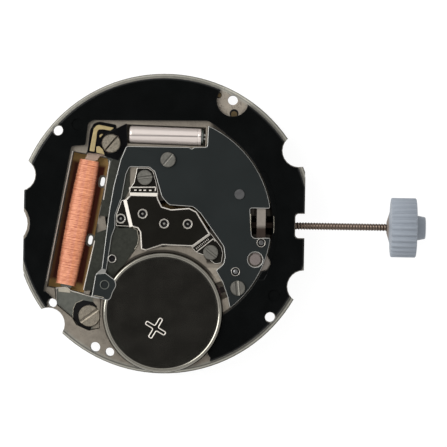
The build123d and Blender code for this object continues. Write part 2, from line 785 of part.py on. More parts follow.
def negative_contact():
    """Bowed strip that presses on the cell's cap."""
    base = cell_floor + film_thickness
    crest = cell_bottom - contact_thickness
    half = contact_length / 2
    under = ThreePointArc((-half, base), (0, crest), (half, base))
    over = ThreePointArc((half, base + contact_thickness), (0, crest + contact_thickness), (-half, base + contact_thickness))
    ends = (Line((half, base), (half, base + contact_thickness)), Line((-half, base + contact_thickness), (-half, base)))
    section = make_face([under, ends[0], over, ends[1]])
    bow = extrude(Plane.XZ * section, amount=contact_width / 2, both=True)
    return Pos(cell_place[0], cell_place[1], 0) * bow


def cell_side_spring():
    """Blade in the plate's window that touches the side of the can."""
    low, high = side_window_angles
    turn = (low + high) / 2
    blade = Rectangle(side_spring_thickness, side_spring_length, align=(Align.MIN, Align.CENTER))
    foot = Rectangle(side_window_width, side_spring_length / 2, align=(Align.MIN, Align.CENTER))
    turned = Pos(*polar(cell_radius + running_gap, turn, cell_place)) * Rot(0, 0, turn)
    spring = slab(turned * blade, side_window_floor, plate_height - board_recess)
    return spring + slab(turned * foot, side_window_floor, side_window_floor + side_spring_thickness)


def train_bridge():
    """Black bridge over the train, its middle stepped up from three feet."""
    high = slab(outline(bridge_shares), plate_height, bridge_top)
    high = chamfer(high.edges().group_by(Axis.Z)[-1], bridge_chamfer)
    tunnel = grown(outline(bridge_shares), -bridge_chamfer - foot_thickness)
    high -= slab(tunnel, plate_height - overrun, bridge_level)
    feet = outline(upper_foot_shares) + outline(lower_foot_shares) + outline(rotor_foot_shares)
    bridge = high + slab(feet - tunnel, plate_height, plate_height + foot_thickness)
    for (first, last), width in zip(bridge_fold_shares, bridge_fold_widths):
        bridge += bridge_fold(at(first), at(last), width)
    bridge -= slab(cell_seat(), plate_height - overrun, bridge_top + overrun)
    for place in (intermediate_place, centre, third_place):
        bridge -= peg(bush_radius, place, plate_height, bridge_top + overrun)
    bridge -= peg(bush_radius, rotor_place, plate_height - overrun, bridge_top + overrun)
    for place in spots(bridge_screw_shares):
        head_bore = screw_head_radius + still_gap
        bridge -= peg(screw_shank_radius + still_gap, place, plate_height - overrun, bridge_level)
        bridge -= peg(head_bore, place, plate_height + foot_thickness, bridge_top + overrun, head_sides)
    return bridge


def bridge_fold(first, last, width):
    """The slope from the bridge's top down to a foot, on the left of a line from first to last."""
    along = Vector(last[0] - first[0], last[1] - first[1], 0)
    left = Vector(-along.Y, along.X, 0)
    plane = Plane(origin=(*first, plate_height + foot_thickness / 2), x_dir=left, z_dir=along)
    low, high = foot_thickness / 2, bridge_top - plate_height - foot_thickness / 2
    section = Polyline((-fold_root, 0), (width, 0), (width, low), (0, high), (-fold_root, high), close=True)
    return extrude(plane * make_face(section), amount=along.length)


def bush(place, low, high):
    """A bearing ring with an oil sink."""
    ring = peg(bush_radius, place, low, high)
    ring -= peg(pivot_radius + running_gap, place, low - overrun, high + overrun)
    return ring - peg(bush_sink_radius, place, high - bush_sink_depth, high + overrun)


def bridge_bushes():
    """The four bearing rings in the train bridge."""
    rings = [bush(place, bridge_level, bridge_top + bush_proud) for place in (intermediate_place, centre, third_place)]
    rings.append(bush(rotor_place, plate_height, plate_height + foot_thickness + bush_proud))
    return Compound(rings)


def rotor_jewel():
    """The one pierced jewel, under the rotor."""
    ring = peg(jewel_radius, rotor_place, train_floor - jewel_depth, train_floor)
    return ring - peg(pivot_radius + running_gap, rotor_place, 0, full_height)


def bridge_screws():
    """The two screws of the train bridge."""
    head_low = plate_height + foot_thickness
    length = foot_thickness + screw_grip_share * (screw_shank_length - foot_thickness)
    seats = zip(spots(bridge_screw_shares), bridge_screw_turns)
    return Compound([screw(place, screw_head_radius, head_low, length, turn) for place, turn in seats])


def cover_screws():
    """The two screws of the cover plate."""
    length = screw_grip_share * screw_shank_length
    seats = zip(spots(cover_screw_shares), cover_screw_turns)
    return Compound([screw(place, screw_head_radius, cover_top, length, turn) for place, turn in seats])


def motor_screws():
    """The screws that clamp the coil core and the stator, upper and lower."""
    length = screw_grip_share * screw_shank_length
    upper_head = plate_height + insulator_thickness + screw_head_height - head_level
    first, second = motor_screw_turns
    upper = screw(at(motor_screw_upper_share), motor_screw_upper_radius, head_level, length, first, upper_head)
    return Compound([upper, screw(at(motor_screw_lower_share), motor_screw_lower_radius, head_level, length, second)])


def steady_pins():
    """The two pins that the cover and the board are placed by."""
    low = plate_height - screw_grip_share * screw_shank_length
    first, second = at(steady_pin_share), at(small_pin_share)
    tall = peg(steady_pin_radius, first, cover_top, cover_top + rivet_rise / 2, head_sides)
    tall += peg(steady_pin_radius / 2, first, low, cover_top)
    small = peg(small_pin_radius / 2, second, low, cover_level + rivet_rise)
    small += peg(small_pin_radius, second, cover_level, cover_level + rivet_rise / 2, head_sides)
    return Compound([tall, small])


def circuit_board():
    """The board under the cover plate, cut round the bridge, the cell and the setting parts."""
    shape = outline(board_shares) - cell_seat(2 * still_gap) - outline(board_window_shares)
    shape -= grown(bridge_area(), still_gap) + setting_area(still_gap)
    shape -= coil_frame(coil_pocket_width, coil_pocket_length) + outline(spring_shares)
    bed = 2 * crystal_pocket_end + crystal_length
    shape -= crystal_bar(bed, 2 * (crystal_radius + still_gap))
    shape -= facet(motor_screw_upper_radius + still_gap, at(motor_screw_upper_share), head_sides)
    for place in spots(cover_screw_shares):
        shape -= facet(screw_shank_radius + still_gap, place)
    shape -= facet(steady_pin_radius / 2 + still_gap, at(steady_pin_share))
    shape -= facet(small_pin_radius / 2 + still_gap, at(small_pin_share))
    solid = slab(shape, board_level, cover_level)
    return max(solid.solids(), key=lambda piece: piece.volume)


def integrated_circuit():
    """The chip on the underside of the board."""
    chip = Pos(*at(chip_share)) * Rectangle(chip_size, chip_size)
    return slab(chip, board_level - chip_height, board_level)


def circuit_cover():
    """Dark sheet cover with its long arm and the bridle tab that presses on the cell."""
    shape = outline(cover_shares) & disc(cover_radius)
    shape -= grown(bridge_area(), still_gap) + cell_seat()
    shape -= outline(window_shares) + facet(lever_stud_hole, lever_pivot, head_sides)
    for place in spots(cover_screw_shares):
        shape -= facet(screw_shank_radius + still_gap, place)
    shape -= facet(steady_pin_radius / 2 + still_gap, at(steady_pin_share))
    for place in spots(rivet_shares):
        shape -= facet(rivet_radius / 2, place)
    sheet = slab(shape, cover_level, cover_top)
    return max(sheet.solids(), key=lambda piece: piece.volume) + bridle()


def bridle():
    """The fold at the end of the cover's arm, the tab over the cell and its standing wall."""
    low = cell_top + bridle_gap
    tab = slab(outline(bridle_shares), low, low + bridle_thickness)
    dimple = at(bridle_dimple_share)
    tab -= peg(bridle_dimple_radius, dimple, low + bridle_thickness / 2, low + overrun, head_sides)
    arm_left, arm_right = [at(cover_shares[index]) for index in arm_end_indices]
    lower = fold_face(arm_left, arm_right, cover_level, cover_top)
    upper = fold_face(*spots(bridle_shares[:2]), low, low + bridle_thickness)
    first, last = spots(bridle_wall_shares)
    wall = slab(strip(first, last, bridle_thickness), plate_height, low + bridle_thickness / 2)
    return tab + loft([lower, upper]) + wall


def fold_face(left, right, low, high):
    """An upright face across the arm, for the fold between two levels."""
    corners = [(*left, low), (*right, low), (*right, high), (*left, high)]
    return make_face(Polyline(*corners, close=True))


def cover_rivets():
    """The two rivets that hold the setting spring under the cover."""
    rivets = []
    for place in spots(rivet_shares):
        rivet = peg(rivet_radius, place, cover_top, cover_top + rivet_rise)
        rivet = chamfer(rivet.edges().group_by(Axis.Z)[-1], rivet_rise / 2)
        rivets.append(rivet + peg(rivet_radius / 2, place, spring_level, cover_top))
    return Compound(rivets)


def crystal_frame():
    """The crystal's own frame: its X axis runs along the can."""
    level = crystal_pocket_floor + still_gap + crystal_radius
    return Pos(*at(crystal_share), level) * Rot(0, 0, crystal_tilt)


def crystal_can():
    """The crystal's drawn can, closed at one end."""
    can = Rot(0, 90, 0) * extrude(Circle(crystal_radius), amount=crystal_length)
    can = Pos(-crystal_length / 2, 0, 0) * can
    can = chamfer(can.edges().group_by(Axis.X)[0], crystal_edge)
    return crystal_frame() * can


def crystal_base():
    """The glass seal in the open end of the can."""
    seal = extrude(RegularPolygon(crystal_radius - crystal_base_inset, head_sides), amount=crystal_base_length)
    return crystal_frame() * Pos(crystal_length / 2, 0, 0) * Rot(0, 90, 0) * seal


def crystal_leads():
    """Two flattened wires from the seal up to the board."""
    leads = []
    start = crystal_length / 2 + crystal_base_length
    thick = 2 * lead_radius
    for side in (-lead_spread / 2, lead_spread / 2):
        flat = Pos(lead_length / 2, 0, 0) * Box(lead_length, thick, thick)
        rise = Pos(lead_length - lead_radius, 0, crystal_radius / 4) * Box(thick, thick, crystal_radius / 2)
        leads.append(crystal_frame() * Pos(start, side, 0) * (flat + rise))
    return Compound(leads)


def coil_section(share):
    """One cross-section of the winding, which swells from its ends to its middle."""
    swell = 1 - (2 * share - 1) ** 2
    half_width = (coil_end_width + (coil_middle_width - coil_end_width) * swell) / 2
    half_height = (coil_end_height + (coil_middle_height - coil_end_height) * swell) / 2
    cut = coil_corner_share * half_height * 2
    quarter = [(half_width, half_height - cut), (half_width - cut / 4, half_height - cut / 4), (half_width - cut, half_height)]
    half = quarter + [(-x, y) for x, y in reversed(quarter)]
    return Plane.XZ.offset(-coil_length * (share - 0.5)) * make_face(
        Polyline(*half, *[(-x, -y) for x, y in half], close=True))


def coil_winding():
    """The packed winding of the motor coil, without its core."""
    winding = loft([coil_section(share) for share in coil_station_shares], ruled=True)
    core = Box(core_width, coil_length + overrun, core_thickness)
    return Pos(*at(coil_share), coil_level) * Rot(0, 0, -coil_tilt) * (winding - core)


def coil_core():
    """The soft-iron bar through the coil, with a lug at each end."""
    shape = core_area()
    for share in (motor_screw_upper_share, motor_screw_lower_share):
        shape -= facet(screw_shank_radius + running_gap, at(share))
    return slab(shape, core_level, head_level)


def coil_film():
    """The amber flexible board under the coil."""
    sheet = coil_frame(coil_pocket_width - 2 * still_gap, coil_pocket_length - 2 * still_gap)
    for place in spots(light_slot_shares):
        sheet -= light_slot(place, 2 * light_slot_width)
    return slab(sheet, coil_pocket_floor, coil_pocket_floor + coil_film_thickness)


def stator():
    """The motor's stator plate, with the rotor's bore and the two necks beside it."""
    shape = stator_area() - facet(stator_bore_radius, rotor_place, head_sides)
    for share in (motor_screw_upper_share, motor_screw_lower_share):
        shape -= facet(screw_shank_radius + running_gap, at(share))
    shape -= facet(small_pin_radius / 2 + running_gap, at(small_pin_share))
    for side in (0, 180):
        shape -= facet(stator_slot, polar(stator_eye_radius, side, rotor_place))
    return slab(shape - cell_seat(2 * still_gap), stator_level, core_level)


def contact_strips():
    """The bent gilt strip and its short neighbour at the coil's upper end."""
    first, corner, last = spots(strip_path_shares)
    long_strip = strip(first, corner, strip_width) + strip(corner, last, strip_width)
    short_strip = strip(*spots(short_strip_shares), strip_width)
    clear = grown(outline(insulator_shares), still_gap)
    solids = []
    for shape in (long_strip - clear, short_strip - clear):
        solid = slab(shape, strip_level, strip_level + strip_thickness)
        solids.append(max(solid.solids(), key=lambda piece: piece.volume))
    return Compound(solids)


def insulator():
    """The black insulator round the upper motor screw, with a thin base under the strips."""
    shape = outline(insulator_shares)
    shape -= facet(motor_screw_upper_radius + still_gap, at(motor_screw_upper_share), head_sides)
    base = outline(insulator_base_shares)
    base -= facet(motor_screw_upper_radius + still_gap, at(motor_screw_upper_share), head_sides)
    base = slab(base, plate_height, plate_height + insulator_base_thickness)
    return base + slab(shape, plate_height, plate_height + insulator_thickness)


def motion_cover():
    """Dial-side sheet that keeps the motion work in its pocket."""
    shape = dial_cover_area() - facet(hour_pipe_radius + wheel_gap, centre, head_sides)
    for place in dial_screw_places():
        shape -= facet(dial_screw_shank_radius + running_gap, place)
    return slab(shape, dial_cover_level, dial_cover_level + dial_cover_thickness)


def motion_cover_screws():
    """The three low-head screws of the dial-side cover, heads towards the dial."""
    screws = []
    shank_end = dial_cover_level + screw_grip_share * dial_screw_length
    for place in dial_screw_places():
        head = peg(dial_screw_radius, place, dial_cover_level - dial_screw_head, dial_cover_level, head_sides)
        slot = Pos(*place) * Rectangle(2 * dial_screw_radius + overrun, screw_slot_width)
        head -= slab(slot, 0, dial_cover_level - dial_screw_head / 2)
        screws.append(head + peg(dial_screw_shank_radius, place, dial_cover_level, shank_end))
    return Compound(screws)


def setting_spring():
    """The flat spring under the cover that holds the setting lever down."""
    shape = outline(spring_shares) - facet(lever_stud_radius + wheel_gap, lever_pivot, head_sides)
    for place in spots(rivet_shares):
        shape -= facet(rivet_radius / 2, place)
    return slab(shape, spring_level, spring_level + spring_thickness)


def yoke():
    """The clutch lever, with the finger that stands in the clutch's groove."""
    shape = strip(at(rivet_shares[1]), yoke_place(), yoke_width)
    plate = slab(shape, lever_level, lever_level + lever_thickness)
    return plate + peg(yoke_finger_radius, yoke_place(), stem_level, lever_level)


# Pieces that turn or slide
def rotor_parts():
    """The rotor's magnet and its pinion with the arbor."""
    magnet = peg(magnet_radius, rotor_place, magnet_level, magnet_level + magnet_height, head_sides)
    magnet -= peg(arbor_radius, rotor_place, 0, full_height)
    low, high = intermediate_wheel_level - pinion_overlap, intermediate_wheel_level + wheel_thickness + pinion_overlap
    phase = rotor_angle + 180 / rotor_leaves
    arbor = pinion(rotor_module, rotor_leaves, phase, low, high, rotor_place)
    return magnet, arbor + arbor_rod(rotor_place, plate_height + foot_thickness)


def arbor_rod(place, top):
    """An arbor between the plate's floor and the bridge, with a thin pivot at each end."""
    upper = peg(pivot_radius, place, train_floor, top)
    lower = peg(pivot_radius, place, train_floor - lower_pivot_length, train_floor + running_gap)
    shoulder = min(top - foot_thickness, bridge_level) - running_gap
    return upper + lower + peg(arbor_radius, place, train_floor + running_gap, shoulder)


def intermediate_parts():
    """The intermediate wheel and its pinion with the arbor."""
    ring = wheel(rotor_module, intermediate_teeth, rotor_angle, intermediate_wheel_level, wheel_thickness,
                 intermediate_place, wheel_window_count)
    low, high = seconds_wheel_level - pinion_overlap, seconds_wheel_level + wheel_thickness + pinion_overlap
    phase = intermediate_angle + 180 + 180 / intermediate_leaves
    arbor = pinion(intermediate_module, intermediate_leaves, phase, low, high, intermediate_place)
    arbor += arbor_rod(intermediate_place, pivot_top)
    return ring - arbor, arbor


def seconds_parts():
    """The seconds wheel and its long arbor, whose round end carries the seconds hand."""
    ring = wheel(intermediate_module, seconds_teeth, intermediate_angle, seconds_wheel_level, wheel_thickness,
                 centre, wheel_window_count)
    low, high = third_wheel_level - pinion_overlap, third_wheel_level + wheel_thickness + pinion_overlap
    arbor = pinion(seconds_module, seconds_leaves, third_angle + 180 / seconds_leaves, low, high, centre)
    seat = -cannon_reach - hand_seat_gap
    arbor += post(arbor_radius, centre, -seconds_pivot_reach, seat)
    arbor += peg(arbor_radius + seconds_collar_width, centre, seat, bridge_level - running_gap)
    arbor += peg(pivot_radius, centre, bridge_level - running_gap, pivot_top)
    return ring - arbor, arbor


def third_parts():
    """The third wheel and its pinion with the arbor."""
    phase = third_angle + 180
    ring = wheel(seconds_module, third_teeth, phase, third_wheel_level, wheel_thickness, third_place, wheel_window_count)
    low, high = centre_wheel_level - pinion_overlap, centre_wheel_level + wheel_thickness + pinion_overlap
    arbor = pinion(third_module, third_leaves, phase + 180 / third_leaves, low, high, third_place)
    arbor += arbor_rod(third_place, pivot_top)
    return ring - arbor, arbor


def centre_parts():
    """The centre wheel on its tube, and the cannon pinion pressed over it."""
    tube_radius = cannon_radius - cannon_wall
    bore = tube_radius - centre_tube_wall
    ring = wheel(third_module, centre_teeth, third_angle, centre_wheel_level, wheel_thickness, centre, wheel_window_count)
    ring += peg(tube_radius, centre, centre_tube_short - cannon_reach, centre_wheel_level + wheel_thickness)
    ring -= peg(bore, centre, -cannon_reach - overrun, full_height)
    low, high = minute_wheel_level - pinion_overlap, motion_pocket_depth - still_gap
    seat = -hour_pipe_reach - hand_seat_gap
    cannon = pinion(motion_module, cannon_leaves, motion_angle + 180 / cannon_leaves, low, high, centre)
    cannon += post(cannon_radius, centre, -cannon_reach, seat)
    cannon += peg(cannon_radius + cannon_collar_width, centre, seat, low)
    cannon -= peg(tube_radius, centre, -cannon_reach - overrun, full_height)
    return ring, cannon


def minute_wheel():
    """The minute wheel and its pinion, which turn on a stud of the plate."""
    ring = wheel(motion_module, minute_teeth, motion_angle, minute_wheel_level, hour_wheel_thickness, minute_place)
    low = hour_wheel_level - running_gap
    phase = motion_angle + 180 + 180 / minute_leaves
    ring += pinion(hour_module, minute_leaves, phase, low, minute_wheel_level, minute_place)
    return ring - peg(minute_stud_radius + running_gap, minute_place, 0, full_height)


def hour_wheel():
    """The hour wheel and the pipe that carries the hour hand."""
    ring = wheel(hour_module, hour_teeth, motion_angle, hour_wheel_level, hour_wheel_thickness, centre)
    ring += post(hour_pipe_radius, centre, -hour_pipe_reach, hand_seat_gap)
    ring += peg(hour_pipe_radius + hour_collar_width, centre, hand_seat_gap, hour_wheel_level, head_sides)
    return ring - peg(hour_pipe_radius - hour_pipe_wall, centre, -overrun - hour_pipe_reach, full_height, head_sides)


def setting_wheel():
    """The setting wheel, in mesh with the minute wheel, and its crown teeth under the clutch."""
    phase = motion_angle + 180 + 180 / setting_teeth
    ring = wheel(motion_module, setting_teeth, phase, minute_wheel_level, hour_wheel_thickness, setting_place)
    top = setting_crown_level + setting_crown_thickness
    crown_module = setting_crown_radius / (setting_crown_teeth / 2 + tooth_tip_share)
    ring += slab(Pos(*setting_place) * toothed(crown_module, setting_crown_teeth, 0), setting_crown_level, top)
    return ring + peg(setting_arbor_radius, setting_place, dial_cover_level + dial_cover_thickness + running_gap, top)


def clutch_pinion():
    """The sliding clutch on the stem's square, toothed at both ends and grooved for the yoke."""
    end = clutch_start + clutch_length
    middle = (clutch_start + end) / 2
    clutch = stem_peg(clutch_radius, clutch_start, end, head_sides)
    groove = stem_peg(clutch_radius + overrun, middle - clutch_groove_width / 2, middle + clutch_groove_width / 2)
    clutch -= groove - stem_peg(clutch_groove_radius, clutch_start, end)
    for tooth in range(clutch_teeth):
        gap = Box(clutch_tooth_depth, clutch_tooth_depth, clutch_radius, align=(Align.MIN, Align.CENTER, Align.MIN))
        lifted = Pos(0, 0, stem_square) * gap
        turned = Rot(tooth * 360 / clutch_teeth, 0, 0) * lifted
        clutch -= Pos(clutch_start, 0, stem_level) * turned
        clutch -= Pos(end - clutch_tooth_depth, 0, stem_level) * turned
    side = stem_square + 2 * running_gap
    return clutch - Pos(middle, 0, stem_level) * Box(clutch_length + overrun, side, side)


def winding_stem():
    """The stem: thread, bearing, groove for the lever, square for the clutch and pilot."""
    groove_start = stem_groove_place - stem_groove_width / 2
    groove_end = stem_groove_place + stem_groove_width / 2
    collar_start = groove_start - stem_collar_width
    stem = stem_peg(stem_radius, groove_end, stem_shoulder, head_sides)
    stem += stem_peg(stem_groove_radius, groove_start, groove_end)
    stem += stem_peg(stem_radius, collar_start, groove_start, head_sides)
    square = Box(collar_start - stem_square_end, stem_square, stem_square)
    stem += Pos((collar_start + stem_square_end) / 2, 0, stem_level) * square
    stem += stem_peg(stem_pilot_radius, stem_pilot_end, stem_square_end)
    return stem + stem_peg(thread_radius, stem_shoulder, crown_start + crown_bore_depth, head_sides)


def transport_crown():
    """The moulded crown: a fluted drum with a cone behind it and a boss in front."""
    pitch = 360 / crown_flutes
    points = []
    for flute in range(crown_flutes):
        points.append(polar(crown_radius, (flute - crown_ridge_share) * pitch))
        points.append(polar(crown_radius, (flute + crown_ridge_share) * pitch))
        points.append(polar(crown_radius - crown_flute_depth, (flute + 0.5) * pitch))
    drum = extrude(make_face(Polyline(*points, close=True)), amount=crown_width)
    cone = loft([Pos(0, 0, -crown_hub_length) * Circle(crown_hub_radius), Circle(crown_cone_radius)])
    boss = loft([Pos(0, 0, crown_width) * Circle(crown_boss_radius),
                 Pos(0, 0, crown_width + crown_boss_length) * Circle(crown_boss_tip_radius)])
    crown = Pos(crown_start, 0, stem_level) * Rot(0, 90, 0) * (drum + cone + boss)
    bore_start = crown_start - crown_hub_length - overrun
    return crown - stem_peg(thread_radius, bore_start, crown_start + crown_bore_depth, head_sides)


def setting_lever():
    """The lever over the stem: its pin stands in the stem's groove and its stud shows through the cover."""
    lever = slab(lever_area(), lever_level, lever_level + lever_thickness)
    pin_place = (stem_groove_place, 0.0)
    lever += peg(lever_pin_radius, pin_place, stem_level + stem_groove_radius + running_gap, lever_level)
    lever += peg(lever_stud_radius, lever_pivot, lever_level + lever_thickness, lever_stud_top, head_sides)
    return lever + peg(lever_pivot_radius, lever_pivot, motion_pocket_depth + 2 * still_gap, lever_level)


def pieces():
    """Every piece by its name."""
    can, gasket, cap = cell_parts()
    magnet, rotor_pinion = rotor_parts()
    intermediate_ring, intermediate_arbor = intermediate_parts()
    seconds_ring, seconds_arbor = seconds_parts()
    third_ring, third_arbor = third_parts()
    centre_ring, cannon = centre_parts()
    return {
        "main_plate": main_plate(),
        "upper_frame": upper_frame(),
        "cell_can": can,
        "cell_gasket": gasket,
        "cell_cap": cap,
        "insulating_film": insulating_film(),
        "negative_contact": negative_contact(),
        "cell_side_spring": cell_side_spring(),
        "train_bridge": train_bridge(),
        "bridge_bushes": bridge_bushes(),
        "rotor_jewel": rotor_jewel(),
        "bridge_screws": bridge_screws(),
        "cover_screws": cover_screws(),
        "motor_screws": motor_screws(),
        "steady_pins": steady_pins(),
        "circuit_board": circuit_board(),
        "integrated_circuit": integrated_circuit(),
        "circuit_cover": circuit_cover(),
        "cover_rivets": cover_rivets(),
        "crystal_can": crystal_can(),
        "crystal_base": crystal_base(),
        "crystal_leads": crystal_leads(),
        "coil_winding": coil_winding(),
        "coil_core": coil_core(),
        "coil_film": coil_film(),
        "stator": stator(),
        "contact_strips": contact_strips(),
        "insulator": insulator(),
        "motion_cover": motion_cover(),
        "motion_cover_screws": motion_cover_screws(),
        "setting_spring": setting_spring(),
        "yoke": yoke(),
        "rotor_magnet": magnet,
        "rotor_pinion": rotor_pinion,
        "intermediate_wheel": intermediate_ring,
        "intermediate_pinion": intermediate_arbor,
        "seconds_wheel": seconds_ring,
        "seconds_arbor": seconds_arbor,
        "third_wheel": third_ring,
        "third_pinion": third_arbor,
        "centre_wheel": centre_ring,
        "cannon_pinion": cannon,
        "minute_wheel": minute_wheel(),
        "hour_wheel": hour_wheel(),
        "setting_wheel": setting_wheel(),
        "clutch_pinion": clutch_pinion(),
        "winding_stem": winding_stem(),
        "transport_crown": transport_crown(),
        "setting_lever": setting_lever(),
    }


os.makedirs("parts", exist_ok=True)
for name, piece in pieces().items():
    export_step(piece, f"parts/{name}.step")
print("lever turns", round(lever_swing(), 3), "degrees for a pull of", stem_pull)
print("rotor at", rotor_place, "intermediate at", intermediate_place, "setting wheel at", setting_place)
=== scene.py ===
"""Looks of a quartz watch movement seen from its battery side: finishes, fine pieces, stage and camera.

Shapes are worked out in millimetres in the part's own frame: X along the stem, Y to twelve o'clock, Z to
the battery side. A shape is a grid of points, or a profile carried along a path, and becomes metres as it is
made.
"""

from math import atan, cos, pi, radians, sin

import bmesh
import bpy
import numpy as np
from mathutils import Matrix


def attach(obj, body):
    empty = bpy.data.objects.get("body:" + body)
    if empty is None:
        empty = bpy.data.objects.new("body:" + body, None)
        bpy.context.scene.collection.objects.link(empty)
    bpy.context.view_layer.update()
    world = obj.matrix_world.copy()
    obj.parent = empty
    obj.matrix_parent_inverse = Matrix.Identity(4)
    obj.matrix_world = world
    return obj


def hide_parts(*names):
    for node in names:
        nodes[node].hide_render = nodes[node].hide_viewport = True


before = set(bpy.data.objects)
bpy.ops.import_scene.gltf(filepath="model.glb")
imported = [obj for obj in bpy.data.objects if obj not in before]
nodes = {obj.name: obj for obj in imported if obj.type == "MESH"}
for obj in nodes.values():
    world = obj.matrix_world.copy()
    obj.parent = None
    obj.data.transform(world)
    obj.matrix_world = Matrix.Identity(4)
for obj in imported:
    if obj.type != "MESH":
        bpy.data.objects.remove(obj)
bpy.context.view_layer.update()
random = np.random.default_rng(7)

MILLIMETRE = 0.001
scale_matrix = Matrix.Scale(MILLIMETRE, 4)

# Radii and upper levels of the solids that finishes and fine pieces follow
PLATE_RADIUS = 12.0
FRAME_OPENING = 8.66
CELL_RADIUS = 4.75
CORE_TOP = 1.74
PLATE_TOP = 2.1
BOARD_TOP = 2.15
BRIDGE_TOP = 2.22
COVER_TOP = 2.3
FRAME_LEDGE = 2.4
CELL_FACE = 2.868
TAB_TOP = 3.04
STEM_LEVEL = 1.45

# Their places, and the coil's lean in degrees
CELL_CENTRE = (0.0, -7.068)
COIL_CENTRE = (-6.84, -0.024)
COIL_LEAN = 10.0
CRYSTAL_CENTRE = (-0.036, 7.026)
TRAIN_BEARINGS = ((-1.7241, 0.7496), (0.0, 0.0), (1.88, 0.0))
ROTOR_BEARING = (-3.4563, 0.3402)
RIVETS = ((7.752, -1.39), (5.748, -3.73))
COVER_PIN = (5.964, 2.436)
BOARD_PIN = (-4.092, -2.868)
TAB_MARK = (-4.63, -4.94)


# Shader values
class Value:
    """A shader socket that Python's operators work on, each adding one Math node."""

    def __init__(self, shader, socket):
        self.shader = shader
        self.socket = socket

    def maths(self, operation, first, second=0.0):
        return self.shader.node("ShaderNodeMath", [first, second], operation=operation)

    def __add__(self, other):
        return self.maths("ADD", self, other)

    def __radd__(self, other):
        return self.maths("ADD", other, self)

    def __sub__(self, other):
        return self.maths("SUBTRACT", self, other)

    def __rsub__(self, other):
        return self.maths("SUBTRACT", other, self)

    def __mul__(self, other):
        return self.maths("MULTIPLY", self, other)

    def __rmul__(self, other):
        return self.maths("MULTIPLY", other, self)

    def __truediv__(self, other):
        return self.maths("DIVIDE", self, other)

    def clamp(self, low=0.0, high=1.0):
        return self.maths("MINIMUM", self.maths("MAXIMUM", self, low), high)

    def absolute(self):
        return self.maths("ABSOLUTE", self)

    def power(self, exponent):
        return self.maths("POWER", self, exponent)

    def step(self, none, full):
        """Nought at the first value and before it, one at the second and past it, and smooth between."""
        share = ((self - none) / (full - none)).clamp()
        return share * share * (3.0 - 2.0 * share)

    def within(self, centre, full, none):
        """One as far as the full distance from a centre, nought past the other distance, smooth between."""
        return (self - centre).absolute().step(none, full)


class Shader:
    """One material or world, built from nodes."""

    def __init__(self, owner, output):
        self.owner = owner
        owner.use_nodes = True
        self.tree = owner.node_tree
        self.tree.nodes.clear()
        self.output = self.tree.nodes.new(output)

    def node(self, kind, sockets=None, output=0, **settings):
        """One output of a new node, made with its settings and the values or links of its sockets."""
        made = self.tree.nodes.new(kind)
        for name, value in settings.items():
            setattr(made, name, value)
        pairs = sockets.items() if isinstance(sockets, dict) else enumerate(sockets or [])
        for name, value in pairs:
            socket = made.inputs[name]
            if isinstance(value, Value):
                self.tree.links.new(value.socket, socket)
            elif socket.type == "RGBA":
                socket.default_value = (*value[:3], 1.0)
            else:
                socket.default_value = value
        return Value(self, made.outputs[output])

    def finish(self, surface):
        """Links the last shader to the output."""
        self.tree.links.new(surface.socket, self.output.inputs["Surface"])
        return self.owner

    def place(self, scale=(1.0, 1.0, 1.0), turn=0.0):
        """Object coordinates in millimetres, stretched and turned about Z."""
        point = self.node("ShaderNodeTexCoord", output="Object")
        stretch = tuple(1.0 / MILLIMETRE * size for size in scale)
        return self.node("ShaderNodeMapping", {
            "Vector": point, "Rotation": (0.0, 0.0, radians(turn)), "Scale": stretch})

    def axis(self, vector, index):
        """One coordinate of a vector."""
        return self.node("ShaderNodeSeparateXYZ", [vector], index)

    def radius(self, point, centre=(0.0, 0.0)):
        """How far a point is from an upright axis."""
        x, y = [self.axis(point, index) - centre[index] for index in (0, 1)]
        return (x * x + y * y).power(0.5)

    def noise(self, point, size, detail=3.0, roughness=0.55):
        """Smooth noise whose patches are about size millimetres across."""
        return self.node("ShaderNodeTexNoise", {
            "Vector": point, "Scale": 1.0 / size, "Detail": detail, "Roughness": roughness}, "Fac")

    def noise_along(self, value, scale, detail, roughness):
        """Smooth noise along one value."""
        sockets = {"W": value, "Scale": scale, "Detail": detail, "Roughness": roughness}
        return self.node("ShaderNodeTexNoise", sockets, "Fac", noise_dimensions="1D")

    def blend(self, share, first, second):
        """A colour between two colours."""
        return self.node("ShaderNodeMix", {0: share, 6: first, 7: second}, 2, data_type="RGBA")

    def shade(self, colour, amount):
        """A colour made darker or lighter by a value round one."""
        grey = self.node("ShaderNodeCombineColor", [amount, amount, amount])
        sockets = {0: 1.0, 6: colour, 7: grey}
        return self.node("ShaderNodeMix", sockets, 2, data_type="RGBA", blend_type="MULTIPLY")

    def bump(self, height, depth, normal=None):
        """A bump of a depth in millimetres."""
        sockets = {"Height": height, "Distance": depth * MILLIMETRE, "Strength": 1.0}
        if normal is not None:
            sockets["Normal"] = normal
        return self.node("ShaderNodeBump", sockets, "Normal")

    def round_edges(self, radius):
        """A normal that runs smoothly over edges of a radius in millimetres."""
        return self.node("ShaderNodeBevel", {"Radius": radius * MILLIMETRE}, "Normal", samples=6)

    def slope(self):
        """One on slopes and cut edges, nought on level and upright faces."""
        facing = self.axis(self.node("ShaderNodeNewGeometry", output="True Normal"), 2)
        return facing.step(0.2, 0.35) * (1.0 - facing.step(0.95, 0.985))

    def surface(self, colour, roughness, metallic=0.0, normal=None, **constants):
        """The plain surface shader; other constants are set on their sockets by name."""
        sockets = {"Base Color": colour, "Roughness": roughness, "Metallic": metallic}
        for name, value in constants.items():
            sockets[name.replace("_", " ").title().replace("Ior", "IOR")] = value
        if normal is not None:
            sockets["Normal"] = normal
        return self.node("ShaderNodeBsdfPrincipled", sockets)


def linear(red, green, blue):
    """A colour written as 0 to 255, as the shader's linear numbers."""
    share = np.array([red, green, blue]) / 255.0
    low, high = share / 12.92, ((share + 0.055) / 1.055) ** 2.4
    return tuple(float(value) for value in np.where(share <= 0.04045, low, high))


